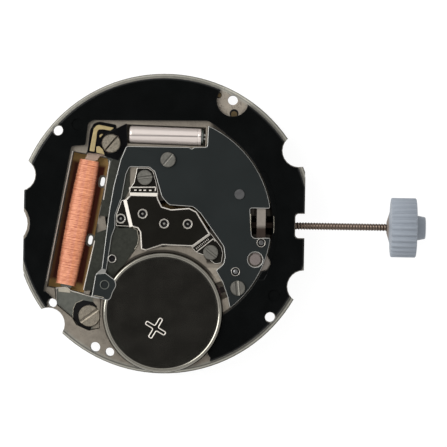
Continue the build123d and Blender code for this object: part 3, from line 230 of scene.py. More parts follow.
def material(name):
    return Shader(bpy.data.materials.new(name), "ShaderNodeOutputMaterial")


# Finishes that several pieces share
def metal(name, colour, roughness, grain, grain_size, mottle, mottle_size, edge, metallic=1.0):
    """Metal with patches of tone, a fine grain and softened edges."""
    shader = material(name)
    point = shader.place()
    patches = shader.noise(point, mottle_size, 4.0)
    fine = shader.noise(point, grain_size, 3.0, 0.6)
    tone = 1.0 + (patches - 0.5) * (2.0 * mottle) + (fine - 0.5) * (1.2 * mottle)
    rough = (roughness + (patches - 0.5) * 0.12 + (fine - 0.5) * 0.1).clamp(0.05, 0.95)
    normal = shader.bump(fine, grain, shader.round_edges(edge) if edge else None)
    return shader.finish(shader.surface(shader.shade(linear(*colour), tone), rough, metallic, normal))


def coated(name, colour, roughness, edge_and_sheen_colour, grain, specular, mottle, mottle_size):
    """Dark coated sheet or moulding: even colour with faint patches, and a paler colour on its slopes and
    cut edges that is partly bare metal and partly painted highlight.
    """
    shader = material(name)
    point = shader.place()
    patches = shader.noise(point, mottle_size)
    fine = shader.noise(point, 0.05, 2.0, 0.7)
    tone = 1.0 + (patches - 0.5) * (2.0 * mottle) + (fine - 0.5) * mottle
    # Painted highlight, partly bare metal: slopes and cut edges take the paler colour and some metal
    bare = shader.slope()
    edges = shader.shade(linear(*edge_and_sheen_colour), 0.8 + patches * 0.4)
    colour = shader.blend(bare, shader.shade(linear(*colour), tone), edges)
    rough = (roughness + (patches - 0.5) * 0.1).clamp(0.1, 0.95)
    rough = rough * (1.0 - bare) + bare * 0.42
    normal = shader.bump(fine, grain)
    return shader.finish(shader.surface(colour, rough, bare * 0.35, normal, specular_ior_level=specular))


def plain(name, colour, roughness, variation=0.2, size=0.3, **constants):
    """Moulded or glassy stuff with a soft variation of tone."""
    shader = material(name)
    patches = shader.noise(shader.place(), size, 4.0)
    colour = shader.shade(linear(*colour), 1.0 + (patches - 0.5) * (2.0 * variation))
    return shader.finish(shader.surface(colour, roughness, 0.0, shader.bump(patches, 0.003), **constants))


# Finishes of one piece
def coil_place(shader):
    """How far a point is across the coil's axis and along it, in millimetres."""
    point = shader.place()
    x, y = [shader.axis(point, index) - COIL_CENTRE[index] for index in (0, 1)]
    lean = radians(COIL_LEAN)
    return x * cos(lean) - y * sin(lean), x * sin(lean) + y * cos(lean)


def copper_wire():
    """Enamelled copper: each turn a little lighter or darker and bands along the coil, with painted shade:
    dark red-brown on its right side and low down beside the film, and a darker left side that tones down the
    lamp's highlight.
    """
    shader = material("copper_wire")
    turns = shader.axis(shader.node("ShaderNodeUVMap", uv_map="turns"), 1)
    turn_tone = shader.noise_along(turns, 0.8, 2.0, 0.7)
    across, along = coil_place(shader)
    bands = shader.noise_along(across + along * 0.03, 3.2, 2.0, 0.6)
    patches = shader.noise(shader.place(), 0.35, 4.0)
    streaks = shader.noise(shader.place((1.0, 4.0, 1.0), -COIL_LEAN), 0.3, 3.0, 0.7)
    pink, orange = linear(218, 154, 128), linear(208, 142, 98)
    deep, low_shade_colour, right_shade_colour = linear(142, 70, 42), linear(84, 32, 16), linear(150, 58, 30)
    light = shader.blend((bands * 2.0 - 0.5).clamp(), pink, orange)
    # Painted shade: the left side is darkened to tone down the lamp's highlight there
    light = shader.shade(light, 1.06 - across.step(-0.2, -0.8) * 0.2)
    share = (turn_tone * 1.4 + patches * 0.8 + streaks * 1.3 + bands * 0.4 - 1.4).clamp()
    # Painted shade: the right side turns dark red-brown
    colour = shader.blend(across.step(0.62, 0.9) * 0.8, shader.blend(share, deep, light), right_shade_colour)
    level = shader.axis(shader.place(), 2)
    # Painted shade: the low parts beside the film turn darker red-brown, reaching higher on the right
    low = 1.0 - level.step(1.64, 1.9 + across.step(0.0, 0.3) * 0.22)
    colour = shader.blend(low, colour, low_shade_colour)
    return shader.finish(shader.surface(colour, 0.45, 0.2, shader.bump(turn_tone, 0.006)))


def amber_film():
    """Amber film under the coil, with painted shade: dark red-brown beside the coil, its amber towards the
    pocket's ends and walls, more so at the right wall.
    """
    shader = material("amber_film")
    across, along = coil_place(shader)
    patches = shader.noise(shader.place(), 0.5)
    # Painted shade: near the coil the film is dark red-brown; it shows its amber at the ends and walls
    wall = across.absolute().step(1.12, 1.34) * (0.22 + across.step(0.0, 0.5) * 0.53)
    end = along.absolute().step(4.6, 5.0)
    unshaded_share = wall.maths("MAXIMUM", wall, end) * (0.7 + patches * 0.6)
    colour = shader.blend(unshaded_share.clamp(), linear(84, 32, 16), linear(176, 140, 84))
    normal = shader.bump(patches, 0.01)
    return shader.finish(shader.surface(colour, 0.5, 0.0, normal, specular_ior_level=0.15))


def crystal_tin():
    """The crystal's bright drawn can, with a painted reflection: one dark line along its middle, and painted
    shade that makes its lower side a little darker.
    """
    shader = material("can_bright")
    point = shader.place()
    across = shader.axis(point, 1) - 6.98
    patches = shader.noise(point, 0.6, 4.0)
    fine = shader.noise(shader.place((1.0, 12.0, 12.0)), 0.03)
    # Painted reflection: the dark line along the middle; painted shade: the lower side a little darker
    line = 1.0 - across.within(0.0, 0.04, 0.09) * (0.35 + fine * 0.3)
    tone = (0.94 + patches * 0.06 + fine * 0.06) * line * (1.0 - across.step(-0.1, -0.25) * 0.05)
    colour = shader.shade(linear(196, 186, 180), tone)
    return shader.finish(shader.surface(colour, 0.2, 0.3, shader.bump(fine, 0.0005)))


def nickel():
    """The plate's grained nickel: mottled, with light and dark rings along its rim that are a painted
    highlight and painted shade of a groove. From the battery side it has painted shade in the cover's window
    and in the gaps beside frame, bridge and cell, and it is lighter in the relief at the upper right and
    beside the cell's contact."""
    shader = material("nickel")
    point = shader.place()
    x, y, level = [shader.axis(point, index) for index in range(3)]
    patches = shader.noise(point, 0.45, 4.0, 0.65)
    wide = shader.noise(point, 3.0, 2.0)
    fine = shader.noise(point, 0.05, 3.0, 0.7)
    battery_side = level.step(0.35, 0.5)
    radius = shader.radius(point)
    inwards = PLATE_RADIUS - radius
    # Painted highlight and painted shade: a bright ring just inside the edge, darker at the very edge and in
    # a ring a little further in, that one darker towards six o'clock
    lines = 1.0 + inwards.within(0.14, 0.05, 0.12) * 0.75 - inwards.step(0.08, 0.04) * 0.35
    lines = lines - inwards.within(0.3, 0.02, 0.08) * (0.1 + y.step(-3.0, -5.0) * 0.35)
    relief = ((x - 5.34).absolute() + (y - 9.96).absolute()).step(2.2, 1.6) * battery_side
    contact = x.within(4.3, 0.9, 1.1) * y.within(-5.3, 1.8, 1.9)
    # Painted shade: darker in the cover's window and in the gaps beside frame, bridge and cell, on the
    # battery side only
    window = x.within(7.7, 1.05, 1.25) * y.within(0.2, 1.35, 1.6)
    shade_beside_frame = radius.within(FRAME_OPENING, 0.14, 0.22) * x.step(3.4, 3.9)
    left = 2.9 - y.step(0.9, 1.3) * 3.8 - (y + 1.9).clamp(-1.0, 0.0) * 0.5
    beside_bridge = (x - left).step(-0.05, 0.1) * x.step(5.8, 5.6) * y.step(-3.25, -2.95) * y.step(4.5, 4.3)
    from_cell = shader.radius(point, CELL_CENTRE)
    shade_beside_cell = from_cell.within(CELL_RADIUS + 0.13, 0.07, 0.16) * y.step(-4.5, -3.8)
    specks = shader.noise(point, 0.12, 1.0).step(0.6, 0.68) * (0.4 + relief * 0.9)
    tone = (0.6 + patches * 0.54 + (wide - 0.5) * 0.3 + (fine - 0.5) * 0.4) * (1.0 - specks * 0.35) * lines
    changes = ((relief, 0.4), (contact, 0.5), (window, -0.9), (shade_beside_frame, -0.75), (beside_bridge, -0.85),
               (shade_beside_cell, -0.75))
    for mask, change in changes:
        tone = tone * (1.0 + mask * battery_side * change)
    colour = shader.blend(inwards.step(0.6, 0.3), linear(125, 118, 108), linear(134, 132, 124))
    rough = (0.5 + (patches - 0.5) * 0.2).clamp(0.05, 0.95)
    normal = shader.bump(fine, 0.008, shader.round_edges(0.04))
    return shader.finish(shader.surface(shader.shade(colour, tone), rough, 1.0, normal))


def iron():
    """The core's iron: dark grained lug, and bright nickel where its upper end comes out of the coil."""
    shader = material("iron")
    point = shader.place()
    upper_end = shader.axis(point, 1).step(4.6, 4.9)
    lower_right = shader.axis(point, 0).step(-5.7, -5.4) * (1.0 - upper_end)
    patches = shader.noise(point, 0.3, 4.0, 0.6)
    fine = shader.noise(point, 0.05, 3.0, 0.7)
    colour = shader.blend(upper_end, linear(92, 93, 87), linear(152, 132, 118))
    colour = shader.blend(lower_right, colour, linear(128, 121, 110))
    tone = 0.6 + patches * 0.5 + fine * 0.3
    rough = (0.4 + (patches - 0.5) * 0.2).clamp()
    normal = shader.bump(fine, 0.005, shader.round_edges(0.04))
    return shader.finish(shader.surface(shader.shade(colour, tone), rough, 1.0, normal))


def moulded():
    """The crown's matt moulding, brown where its cone meets the stem."""
    shader = material("moulded")
    point = shader.place()
    patches = shader.noise(point, 0.6)
    stub = 1.0 - shader.axis(point, 0).step(17.82, 18.0)
    colour = shader.blend(stub, linear(129, 135, 143), linear(104, 95, 88))
    colour = shader.shade(colour, 0.94 + patches * 0.12)
    normal = shader.bump(patches, 0.003)
    return shader.finish(shader.surface(colour, 0.5, 0.0, normal, specular_ior_level=0.2))


def lever_steel():
    """The setting lever's steel: its own colour where the window shows it, painted shade in dark brown where
    it runs under the cover, and grey at its pivot.
    """
    shader = material("lever_steel")
    point = shader.place()
    y = shader.axis(point, 1)
    patches = shader.noise(point, 0.35)
    fine = shader.noise(point, 0.04, 2.0)
    # Painted shade: dark brown below the window where the cover shades it, then grey at the pivot
    colour = shader.blend(y.step(-0.35, 0.1), linear(58, 50, 45), linear(142, 135, 127))
    colour = shader.blend(y.step(-1.4, -1.7), colour, linear(122, 113, 110))
    colour = shader.shade(colour, 0.85 + patches * 0.3)
    return shader.finish(shader.surface(colour, 0.42, 1.0, shader.bump(fine, 0.003)))


def cell_steel():
    """Polished cell steel with a faint turned grain."""
    shader = material("cell_steel")
    point = shader.place()
    grain_centre = (0.0, -7.07)
    rings = shader.noise_along(shader.radius(point, grain_centre), 14.0, 3.0, 0.7)
    fine = shader.noise(point, 0.04, 2.0)
    patches = shader.noise(point, 1.5)
    colour = shader.shade(linear(132, 129, 120), 0.8 + patches * 0.4)
    rough = 0.09 + fine * 0.04 + patches * 0.05
    return shader.finish(shader.surface(colour, rough, 1.0, shader.bump(rings * 0.6 + fine * 0.4, 0.002)))


def stem_steel():
    """Stem steel, with painted shade: dark brown where the stem runs inside the plate."""
    shader = material("stem_steel")
    point = shader.place()
    outside = shader.axis(point, 0).step(9.2, 10.2)
    patches = shader.noise(point, 0.5)
    # Painted shade: dark brown inside the plate, the steel's own colour outside it
    colour = shader.blend(outside, linear(26, 21, 18), linear(96, 84, 75))
    return shader.finish(shader.surface(shader.shade(colour, 0.8 + patches * 0.4), 0.36, 1.0))


# Colour, roughness, depth and size of the grain, strength and size of the patches, width of softened
# edges, and how metallic the finish is where that isn't one
METALS = {
    "nickel_bright": ((158, 152, 138), 0.45, 0.006, 0.05, 0.14, 0.4, 0.03),
    "gilt": ((160, 144, 106), 0.42, 0.004, 0.05, 0.2, 0.3, 0.02),
    # Painted shade: gilt darkened for the floors of the relief's recesses
    "gilt_in_shade": ((84, 72, 52), 0.42, 0.004, 0.05, 0.3, 0.2, 0.0),
    "brass": ((205, 170, 95), 0.3, 0.002, 0.04, 0.08, 0.4, 0.02),
    # Painted shade: brass darkened for the train wheels that lie in shadow under bridge and cover
    "brass_in_shade": ((60, 48, 30), 0.4, 0.002, 0.04, 0.15, 0.4, 0.02),
    "soft_iron": ((92, 94, 89), 0.42, 0.005, 0.05, 0.2, 0.35, 0.04),
    "steel": ((178, 176, 170), 0.3, 0.002, 0.04, 0.1, 0.4, 0.02),
    "spring_steel": ((120, 114, 108), 0.42, 0.003, 0.04, 0.1, 0.4, 0.02),
    "pin_steel": ((104, 104, 104), 0.32, 0.002, 0.04, 0.1, 0.3, 0.0),
    # Painted shade: steel darkened for the yoke and clutch deep in the cover's window
    "steel_in_shade": ((52, 46, 42), 0.4, 0.002, 0.04, 0.1, 0.4, 0.02),
    "screw_steel": ((106, 104, 98), 0.4, 0.005, 0.05, 0.3, 0.2, 0.0),
    "motor_screw_steel": ((124, 117, 105), 0.42, 0.008, 0.06, 0.6, 0.12, 0.0),
    "magnet": ((110, 108, 106), 0.4, 0.003, 0.06, 0.1, 0.3, 0.02),
    # Bright metal for the ridges that are painted highlights, and for the outline of the cell's plus
    "highlight_trim": ((206, 200, 191), 0.42, 0.002, 0.03, 0.1, 0.3, 0.0, 0.6),
    "ring_metal": ((158, 154, 147), 0.38, 0.002, 0.03, 0.1, 0.3, 0.0, 0.8),
}

# Colour, roughness, colour of the slopes and cut edges (partly bare metal, partly painted highlight), depth
# of the grain, gloss, strength and size of the patches
COATINGS = {
    "black_plastic": ((7, 8, 8), 0.18, (22, 23, 23), 0.001, 0.1, 0.3, 1.6),
    "bridge_black": ((20, 19, 16), 0.2, (205, 199, 190), 0.001, 0.12, 0.3, 1.6),
    "cover_slate": ((32, 35, 35), 0.18, (152, 151, 147), 0.001, 0.12, 0.14, 2.5),
    "board": ((39, 40, 35), 0.42, (170, 165, 152), 0.006, 0.1, 0.5, 0.25),
    "insulator_black": ((8, 8, 9), 0.2, (40, 40, 42), 0.001, 0.1, 0.2, 1.6),
}

finishes = {
    "nickel": nickel(),
    "cell_steel": cell_steel(),
    "can_bright": crystal_tin(),
    "copper": copper_wire(),
    "amber_film": amber_film(),
    "iron": iron(),
    "lever_steel": lever_steel(),
    "stem_steel": stem_steel(),
    "crown_plastic": moulded(),
    "seal": plain("seal", (30, 34, 38), 0.5),
    "jewel": plain("jewel", (150, 20, 45), 0.08, 0.1, 0.2, transmission_weight=0.5, ior=1.76),
    "epoxy": plain("epoxy", (16, 16, 17), 0.45),
    "glass_seal": plain("glass_seal", (60, 66, 60), 0.1, coat_weight=0.5),
    "dark_film": plain("dark_film", (46, 20, 14), 0.35, 0.35, 0.5, coat_weight=0.3),
    # Black for painted shade in sinks, gaps and recesses
    "shade_black": plain("shade_black", (7, 6, 6), 0.6, specular_ior_level=0.1),
}
finishes.update({name: metal(name, *values) for name, values in METALS.items()})
finishes.update({name: coated(name, *values) for name, values in COATINGS.items()})


# Shapes
def grid(rows, columns, closed=False):
    """Four-sided faces of a grid of points whose rows are rings. Closed joins the last row to the first."""
    row = np.arange(rows if closed else rows - 1)[:, None]
    column = np.arange(columns)[None, :]
    next_row, next_column = (row + 1) % rows, (column + 1) % columns
    corners = [row * columns + column, row * columns + next_column,
               next_row * columns + next_column, next_row * columns + column]
    return np.stack(corners, axis=-1).reshape(-1, 4)


class Shape:
    """Points and faces of one piece, in millimetres, gathered from several surfaces."""

    def __init__(self):
        self.points = []
        self.faces = []
        self.count = 0

    def add(self, points, faces, *caps):
        points = np.asarray(points, float).reshape(-1, 3)
        self.faces += (np.asarray(faces) + self.count).tolist()
        self.faces += [(np.asarray(cap) + self.count).tolist() for cap in caps]
        self.points.append(points)
        self.count += len(points)
        return self

    def make(self, name, finish, slot, replaced=(), smooth=0.0, body="movement", turns=None):
        """The piece as an object: doubles merged, metres, its finish, the body that it rides on."""
        mesh = bpy.data.meshes.new(name)
        mesh.from_pydata(np.concatenate(self.points).tolist(), [], self.faces)
        if turns is not None:
            layer = mesh.uv_layers.new(name="turns")
            loops = np.zeros(len(mesh.loops), int)
            mesh.loops.foreach_get("vertex_index", loops)
            layer.data.foreach_set("uv", turns[loops].ravel())
        shell = bmesh.new()
        shell.from_mesh(mesh)
        bmesh.ops.remove_doubles(shell, verts=shell.verts, dist=0.0005)
        shell.to_mesh(mesh)
        shell.free()
        dress(name, mesh, finish, replaced, smooth, body)


def dress(name, mesh, finish, replaced=(), smooth=0.0, body="movement"):
    """A mesh in millimetres made a piece: metres, shading, finish, body, and the nodes it replaces."""
    mesh.transform(scale_matrix)
    mesh.update()
    if smooth:
        mesh.shade_smooth()
        mesh.set_sharp_from_angle(angle=radians(smooth))
    mesh.materials.append(finishes[finish])
    piece = bpy.data.objects.new(name, mesh)
    bpy.context.scene.collection.objects.link(piece)
    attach(piece, body)
    if replaced:
        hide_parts(*replaced)


def placed(points, place, level=0.0):
    """Points moved to a place on the movement."""
    return np.asarray(points) + np.array([place[0], place[1], level])


def turned(profile, segments, place=(0.0, 0.0), level=0.0, closed=False):
    """A profile of (radius, height) turned about an upright axis. A point of no radius closes an end."""
    radius, height = np.array(profile, float).T
    angle = np.linspace(0.0, 2.0 * pi, segments, endpoint=False)
    points = np.stack([np.outer(radius, np.cos(angle)), np.outer(radius, np.sin(angle)),
                       np.repeat(height[:, None], segments, 1)], axis=-1)
    return placed(points.reshape(-1, 3), place, level), grid(len(radius), segments, closed)


def spun(points, turn):
    """Points turned about Z by an angle in degrees."""
    points = np.array(points, float)
    turn = radians(turn)
    points[:, :2] = points[:, :2] @ np.array([[cos(turn), sin(turn)], [-sin(turn), cos(turn)]])
    return points


def along_stem(points, start=0.0):
    """Points whose Z axis is laid along the stem: Z becomes X."""
    x, y, z = np.asarray(points).T
    return np.stack([z + start, y, STEM_LEVEL - x], axis=-1)


def anticlockwise(outline):
    """An outline with its inside on the left."""
    outline = np.asarray(outline, float)
    x, y = outline.T
    area = np.sum(x * np.roll(y, -1) - np.roll(x, -1) * y)
    return outline if area > 0 else outline[::-1]


def inset(outline, amount):
    """An outline moved inwards: each corner slides so that both of its sides move by the amount."""
    ahead = np.roll(outline, -1, 0) - outline
    ahead /= np.linalg.norm(ahead, axis=1)[:, None]
    back = np.roll(ahead, 1, 0)
    first, second = np.stack([-back[:, 1], back[:, 0]], 1), np.stack([-ahead[:, 1], ahead[:, 0]], 1)
    spread = 1.0 + np.sum(first * second, axis=1)
    return outline + (first + second) * (amount / np.maximum(spread, 0.2))[:, None]


def rounded(outline, radius, steps=5):
    """An outline with each corner replaced by a quadratic curve that starts and ends a radius from it."""
    outline = anticlockwise(outline)
    before, after = np.roll(outline, 1, 0) - outline, np.roll(outline, -1, 0) - outline
    long_before, long_after = np.linalg.norm(before, axis=1), np.linalg.norm(after, axis=1)
    first = outline + before * (np.minimum(radius, long_before * 0.45) / long_before)[:, None]
    last = outline + after * (np.minimum(radius, long_after * 0.45) / long_after)[:, None]
    share = np.linspace(0.0, 1.0, steps)[None, :, None]
    rest = 1.0 - share
    curve = rest ** 2 * first[:, None] + 2 * share * rest * outline[:, None] + share ** 2 * last[:, None]
    return curve.reshape(-1, 2)


def prism(outline, low, high, edge=0.0, place=(0.0, 0.0)):
    """An upright solid over an outline, its upper edge cut at 45 degrees."""
    outline = anticlockwise(outline)
    count = len(outline)
    rings = [(outline, low), (outline, high - edge)]
    if edge:
        rings.append((inset(outline, edge), high))
    points = np.concatenate([np.column_stack([ring, np.full(count, level)]) for ring, level in rings])
    last = (len(rings) - 1) * count
    caps = np.arange(count)[::-1], np.arange(last, last + count)
    return placed(points, place), grid(len(rings), count), *caps


def arc(radius, start, end, count):
    """Points of an arc about the origin, from one angle to another in degrees."""
    angle = np.radians(np.linspace(start, end, count))
    return np.stack([radius * np.cos(angle), radius * np.sin(angle)], axis=-1)


def swept(path, level, width, height):
    """A low half-round band carried round a closed path at a level: seven points across, its back flat."""
    ahead = np.roll(path, -1, 0) - np.roll(path, 1, 0)
    ahead /= np.linalg.norm(ahead, axis=1)[:, None]
    side = np.stack([-ahead[:, 1], ahead[:, 0]], axis=-1)
    angle = np.linspace(pi, 0.0, 7)
    across, up = 0.5 * width * np.cos(angle), height * np.sin(angle)
    points = np.zeros((len(path), len(angle), 3))
    points[:, :, :2] = path[:, None] + side[:, None, :] * across[None, :, None]
    points[:, :, 2] = level + up[None, :]
    return points, grid(len(path), len(angle), True)


def bar(start, end, width):
    """The four corners of a straight bar between two points."""
    start, end = np.array(start, float), np.array(end, float)
    ahead = (end - start) / np.linalg.norm(end - start)
    side = np.array([-ahead[1], ahead[0]]) * width / 2
    return np.array([start - side, end - side, end + side, start + side])


def ridges(shape, level, width, height, *path):
    """Narrow roof-shaped bars laid end to end along a path at a level."""
    sunk, slope_share = 0.01, 0.42
    for start, end in zip(path[:-1], path[1:]):
        shape.add(*prism(bar(start, end, width), level - sunk, level + height, slope_share * width))


# Softened copies of sheet and moulded solids
def upright(edge):
    """Whether an edge stands along Z."""
    return abs((edge.verts[0].co - edge.verts[1].co).normalized().z) > 0.99


def shortest_side(edge):
    """The length of the shortest edge that meets an edge."""
    return min(e.calc_length() for vertex in edge.verts for e in vertex.link_edges if e is not edge)


def rim(edge, spots):
    """Whether an edge is the outer edge of a level upper face, away from the spots that stay as they are."""
    faces = edge.link_faces
    if len(faces) != 2 or not edge.is_convex or edge.calc_face_angle(0.0) < 0.6 or upright(edge):
        return False
    middle = (edge.verts[0].co + edge.verts[1].co) / 2
    near = any((middle.x - x) ** 2 + (middle.y - y) ** 2 < reach ** 2 for x, y, reach in spots)
    return not near and max(face.normal.z for face in faces) > 0.95


def softened(node, finish, edge, corner, spots=()):
    """A merged copy of a solid: its upright corners rounded twice, then the outer edges of its upper faces
    cut. A corner is left where its angle or its sides leave no room for the curve and the cut."""
    doubles, flat = 0.0004, radians(1.0)
    mesh = nodes[node].data.copy()
    mesh.materials.clear()
    mesh.transform(Matrix.Scale(1.0 / MILLIMETRE, 4))
    shell = bmesh.new()
    shell.from_mesh(mesh)
    bmesh.ops.remove_doubles(shell, verts=shell.verts, dist=doubles)
    bmesh.ops.dissolve_limit(shell, angle_limit=flat, verts=shell.verts, edges=shell.edges)
    for radius in (corner, corner / 2):
        corners = [e for e in shell.edges if len(e.link_faces) == 2 and upright(e)
                   and 0.4 < e.calc_face_angle(0.0) < 2.0 * atan(radius / (1.3 * edge))
                   and shortest_side(e) > 2.2 * radius]
        bmesh.ops.bevel(shell, geom=corners, offset=radius, segments=5, profile=0.5, affect="EDGES")
        bmesh.ops.remove_doubles(shell, verts=shell.verts, dist=doubles)
    shell.normal_update()
    rims = [e for e in shell.edges if rim(e, spots)]
    bmesh.ops.bevel(shell, geom=rims, offset=edge, segments=2, profile=0.5, affect="EDGES")
    shell.to_mesh(mesh)
    shell.free()
    dress(node + "_softened", mesh, finish, [node])


def sheets():
    """Cover, bridge, frame and insulator with softened edges. The tab's recess, the frame's two marks and
    the frame beside the stem stay sharp."""
    marks = [(-7.01, 7.76, 0.9), (8.86, -5.58, 0.9)]
    beside_stem = [(x, y, 0.85) for x, y in arc(9.05, -18.0, 27.0, 6)]
    softened("circuit_cover", "cover_slate", 0.05, 0.16, [(*TAB_MARK, 0.5)])
    softened("train_bridge", "bridge_black", 0.035, 0.1)
    softened("upper_frame", "black_plastic", 0.035, 0.12, marks + beside_stem)
    softened("insulator", "insulator_black", 0.015, 0.1)


# Cell, coil and crystal
def cell():
    """The cell's can: a turned profile with a groove inside its rolled rim. A bright band round the outline
    of a
    plus lies on it: partly the embossed sign, partly a painted highlight on its edges.
    """
    profile = [(0.0, 0.955), (4.28, 0.955), (4.28, 1.25), (4.6, 1.0), (4.74, 1.1), (CELL_RADIUS, 2.6),
               (4.745, 2.7), (4.73, 2.77), (4.7, 2.83), (4.65, 2.875), (4.59, 2.898), (4.56, 2.9),
               (4.53, 2.897), (4.5, 2.885), (4.48, 2.875), (4.44, 2.87), (4.2, CELL_FACE), (2.5, CELL_FACE),
               (0.0, CELL_FACE)]
    shape = Shape().add(*turned(profile, 160, CELL_CENTRE))
    shape.make("cell_can_turned", "cell_steel", "cell_steel", ["cell_can"], smooth=40.0)
    half, arm, turn, place = 0.14, 0.88, -30.0, (-0.52, -8.32)
    corners = [(half, arm), (-half, arm), (-half, half), (-arm, half), (-arm, -half), (-half, -half),
               (-half, -arm), (half, -arm), (half, -half), (arm, -half), (arm, half), (half, half)]
    path = spun(rounded(corners, 0.12), turn) + place
    # Painted highlight: the band traces the lit edges of the embossed plus
    mark = Shape().add(*swept(path, CELL_FACE - 0.008, 0.085, 0.03))
    mark.make("cell_plus_mark", "highlight_trim", "cell_steel", smooth=40.0)


def winding():
    """The coil: a rounded barrel of wire. Its half width and half height swell to the middle, and each turn
    stands out by a small half round that climbs one pitch per turn. Across, the barrel is a circle whose
    sine and cosine are raised to two thirds, which makes it squarer."""
    turns, per_turn, around, length = 118, 5, 60, 10.08
    wire, power = 0.028, 2.0 / 3.0
    rows = turns * per_turn + 1
    share = np.linspace(0.0, 1.0, rows)[:, None]
    angle = np.linspace(0.0, 2.0 * pi, around, endpoint=False)[None, :]
    swell = 1.0 - (2.0 * share - 1.0) ** 2
    unevenness = np.interp(share * turns, np.arange(turns + 1), random.normal(0.0, 0.012, turns + 1))
    lift = np.abs(np.sin(pi * (share * turns + angle / (2.0 * pi)))) ** 0.6 * wire - wire + unevenness
    half_width, half_height = 0.81 + 0.11 * swell + lift, 0.54 + 0.2 * swell + lift
    x = half_width * np.sign(np.cos(angle)) * np.abs(np.cos(angle)) ** power
    z = half_height * np.sign(np.sin(angle)) * np.abs(np.sin(angle)) ** power
    y = np.broadcast_to((share - 0.5) * length, x.shape)
    body = np.stack([x, y, z], axis=-1)
    near, far = body[:1] * [0.0, 1.0, 0.0], body[-1:] * [0.0, 1.0, 0.0]
    points = spun(np.concatenate([near, body, far]).reshape(-1, 3), -COIL_LEAN)
    points += [COIL_CENTRE[0] - 0.06, COIL_CENTRE[1], 1.59]
    count = rows + 2
    uv = np.zeros((count, around, 2))
    uv[:, :, 0] = np.linspace(0.0, 1.0, around)[None, :]
    uv[:, :, 1] = np.clip(np.arange(count) - 1, 0, rows - 1)[:, None] / per_turn
    shape = Shape().add(points, grid(count, around)[:, ::-1])
    shape.make("coil_wire", "copper", "copper", ["coil_winding"], smooth=60.0, turns=uv.reshape(-1, 2))


def crystal():
    """The crystal's can: a profile turned about its own long axis, round at the closed end, with a bead near
    the open end."""
    half, radius, lean, level = 2.87, 0.7, -1.3, 1.6
    profile = [(0.0, -half), (0.5, -half), (0.6, -half + 0.02), (0.67, -half + 0.07), (radius, -half + 0.16),
               (radius, -half + 0.2), (radius, -1.0), (radius, 1.0), (radius, half - 0.33),
               (radius, half - 0.3), (0.69, half - 0.28), (0.69, half - 0.24), (radius, half - 0.22),
               (radius, half - 0.02), (0.66, half), (0.62, half), (0.62, half - 0.05), (0.0, half - 0.05)]
    points, faces = turned(profile, 72)
    x, y, z = points.T
    lying = spun(np.stack([z, y, -x], axis=-1), lean)
    shape = Shape().add(placed(lying, CRYSTAL_CENTRE, level), faces)
    shape.make("crystal_can_drawn", "can_bright", "can_bright", ["crystal_can"], smooth=40.0)


# Screws, bearings, pins and rivets
def slotted_head(shape, place, radius, low, height, turn, slot, valley):
    """A screw head: a round floor, two half discs beside the slot, and two slopes along the slot's floor."""
    edge, depth, shank_radius, shank = 0.05, 0.1, 0.25, 0.7
    high = low + height
    floor = high - depth
    shape.add(*prism(arc(radius, 0.0, 352.5, 48), low, floor, place=place))
    lean = np.degrees(np.arcsin(slot / 2 / radius))
    for side in (0.0, 180.0):
        half = arc(radius, turn + side + lean, turn + side + 180.0 - lean, 30)
        shape.add(*prism(half, floor, high, edge, place))
        across = [(0.0, floor), (slot / 2, floor + valley), (slot / 2, floor)]
        reach = 0.97 * radius
        ends = np.array([[(end, y, z) for y, z in across] for end in (-reach, reach)])
        points = spun(ends.reshape(-1, 3), turn + side)
        shape.add(placed(points, place), grid(2, 3), [0, 1, 2], [5, 4, 3])
    shape.add(*prism(arc(shank_radius, 0.0, 345.0, 24), low - shank, low, place=place))


def screws():
    """All slotted screws of the battery side. Each has a place, radius, lower level and height, the turn and
    width of its slot, and the height of the slopes in it."""
    groups = {
        "bridge_screws": [((-1.596, 3.648), 0.6, BRIDGE_TOP, 0.2, 8.0, 0.14, 0.01),
                          ((3.744, -2.244), 0.6, BRIDGE_TOP, 0.2, -38.0, 0.14, 0.01)],
        "cover_screws": [((0.228, 5.088), 0.6, COVER_TOP, 0.2, 50.0, 0.14, 0.01),
                         ((5.952, -5.04), 0.6, COVER_TOP, 0.2, 96.0, 0.26, 0.07)],
        "motor_screws": [((-4.32, 6.312), 0.73, CORE_TOP, 0.7, 50.0, 0.07, 0.0),
                         ((-5.844, -7.464), 0.87, CORE_TOP, 0.2, 36.0, 0.24, 0.06)],
    }
    for node, group in groups.items():
        shape = Shape()
        for screw in group:
            slotted_head(shape, *screw)
        finish = "motor_screw_steel" if node == "motor_screws" else "screw_steel"
        shape.make(node + "_slotted", finish, "steel", [node], smooth=40.0)


def ringed(rings, sinks, place, low, height, outer, width, bore):
    """A ring round a sink that is painted black as shade: both are closed profiles turned about a place."""
    high, inner = low + height, outer - width
    ring = [(inner, low), (outer, low), (outer, high - 0.04), (outer - 0.25 * width, high - 0.005),
            (outer - 0.5 * width, high), (inner + 0.2 * width, high - 0.01), (inner, high - 0.04)]
    sink = [(bore, low), (inner, low), (inner, high - 0.05), ((inner + bore) / 2, high - 0.08),
            (bore, high - 0.09)]
    for shape, profile in ((rings, ring), (sinks, sink)):
        shape.add(*turned(profile, 48, place, closed=True))


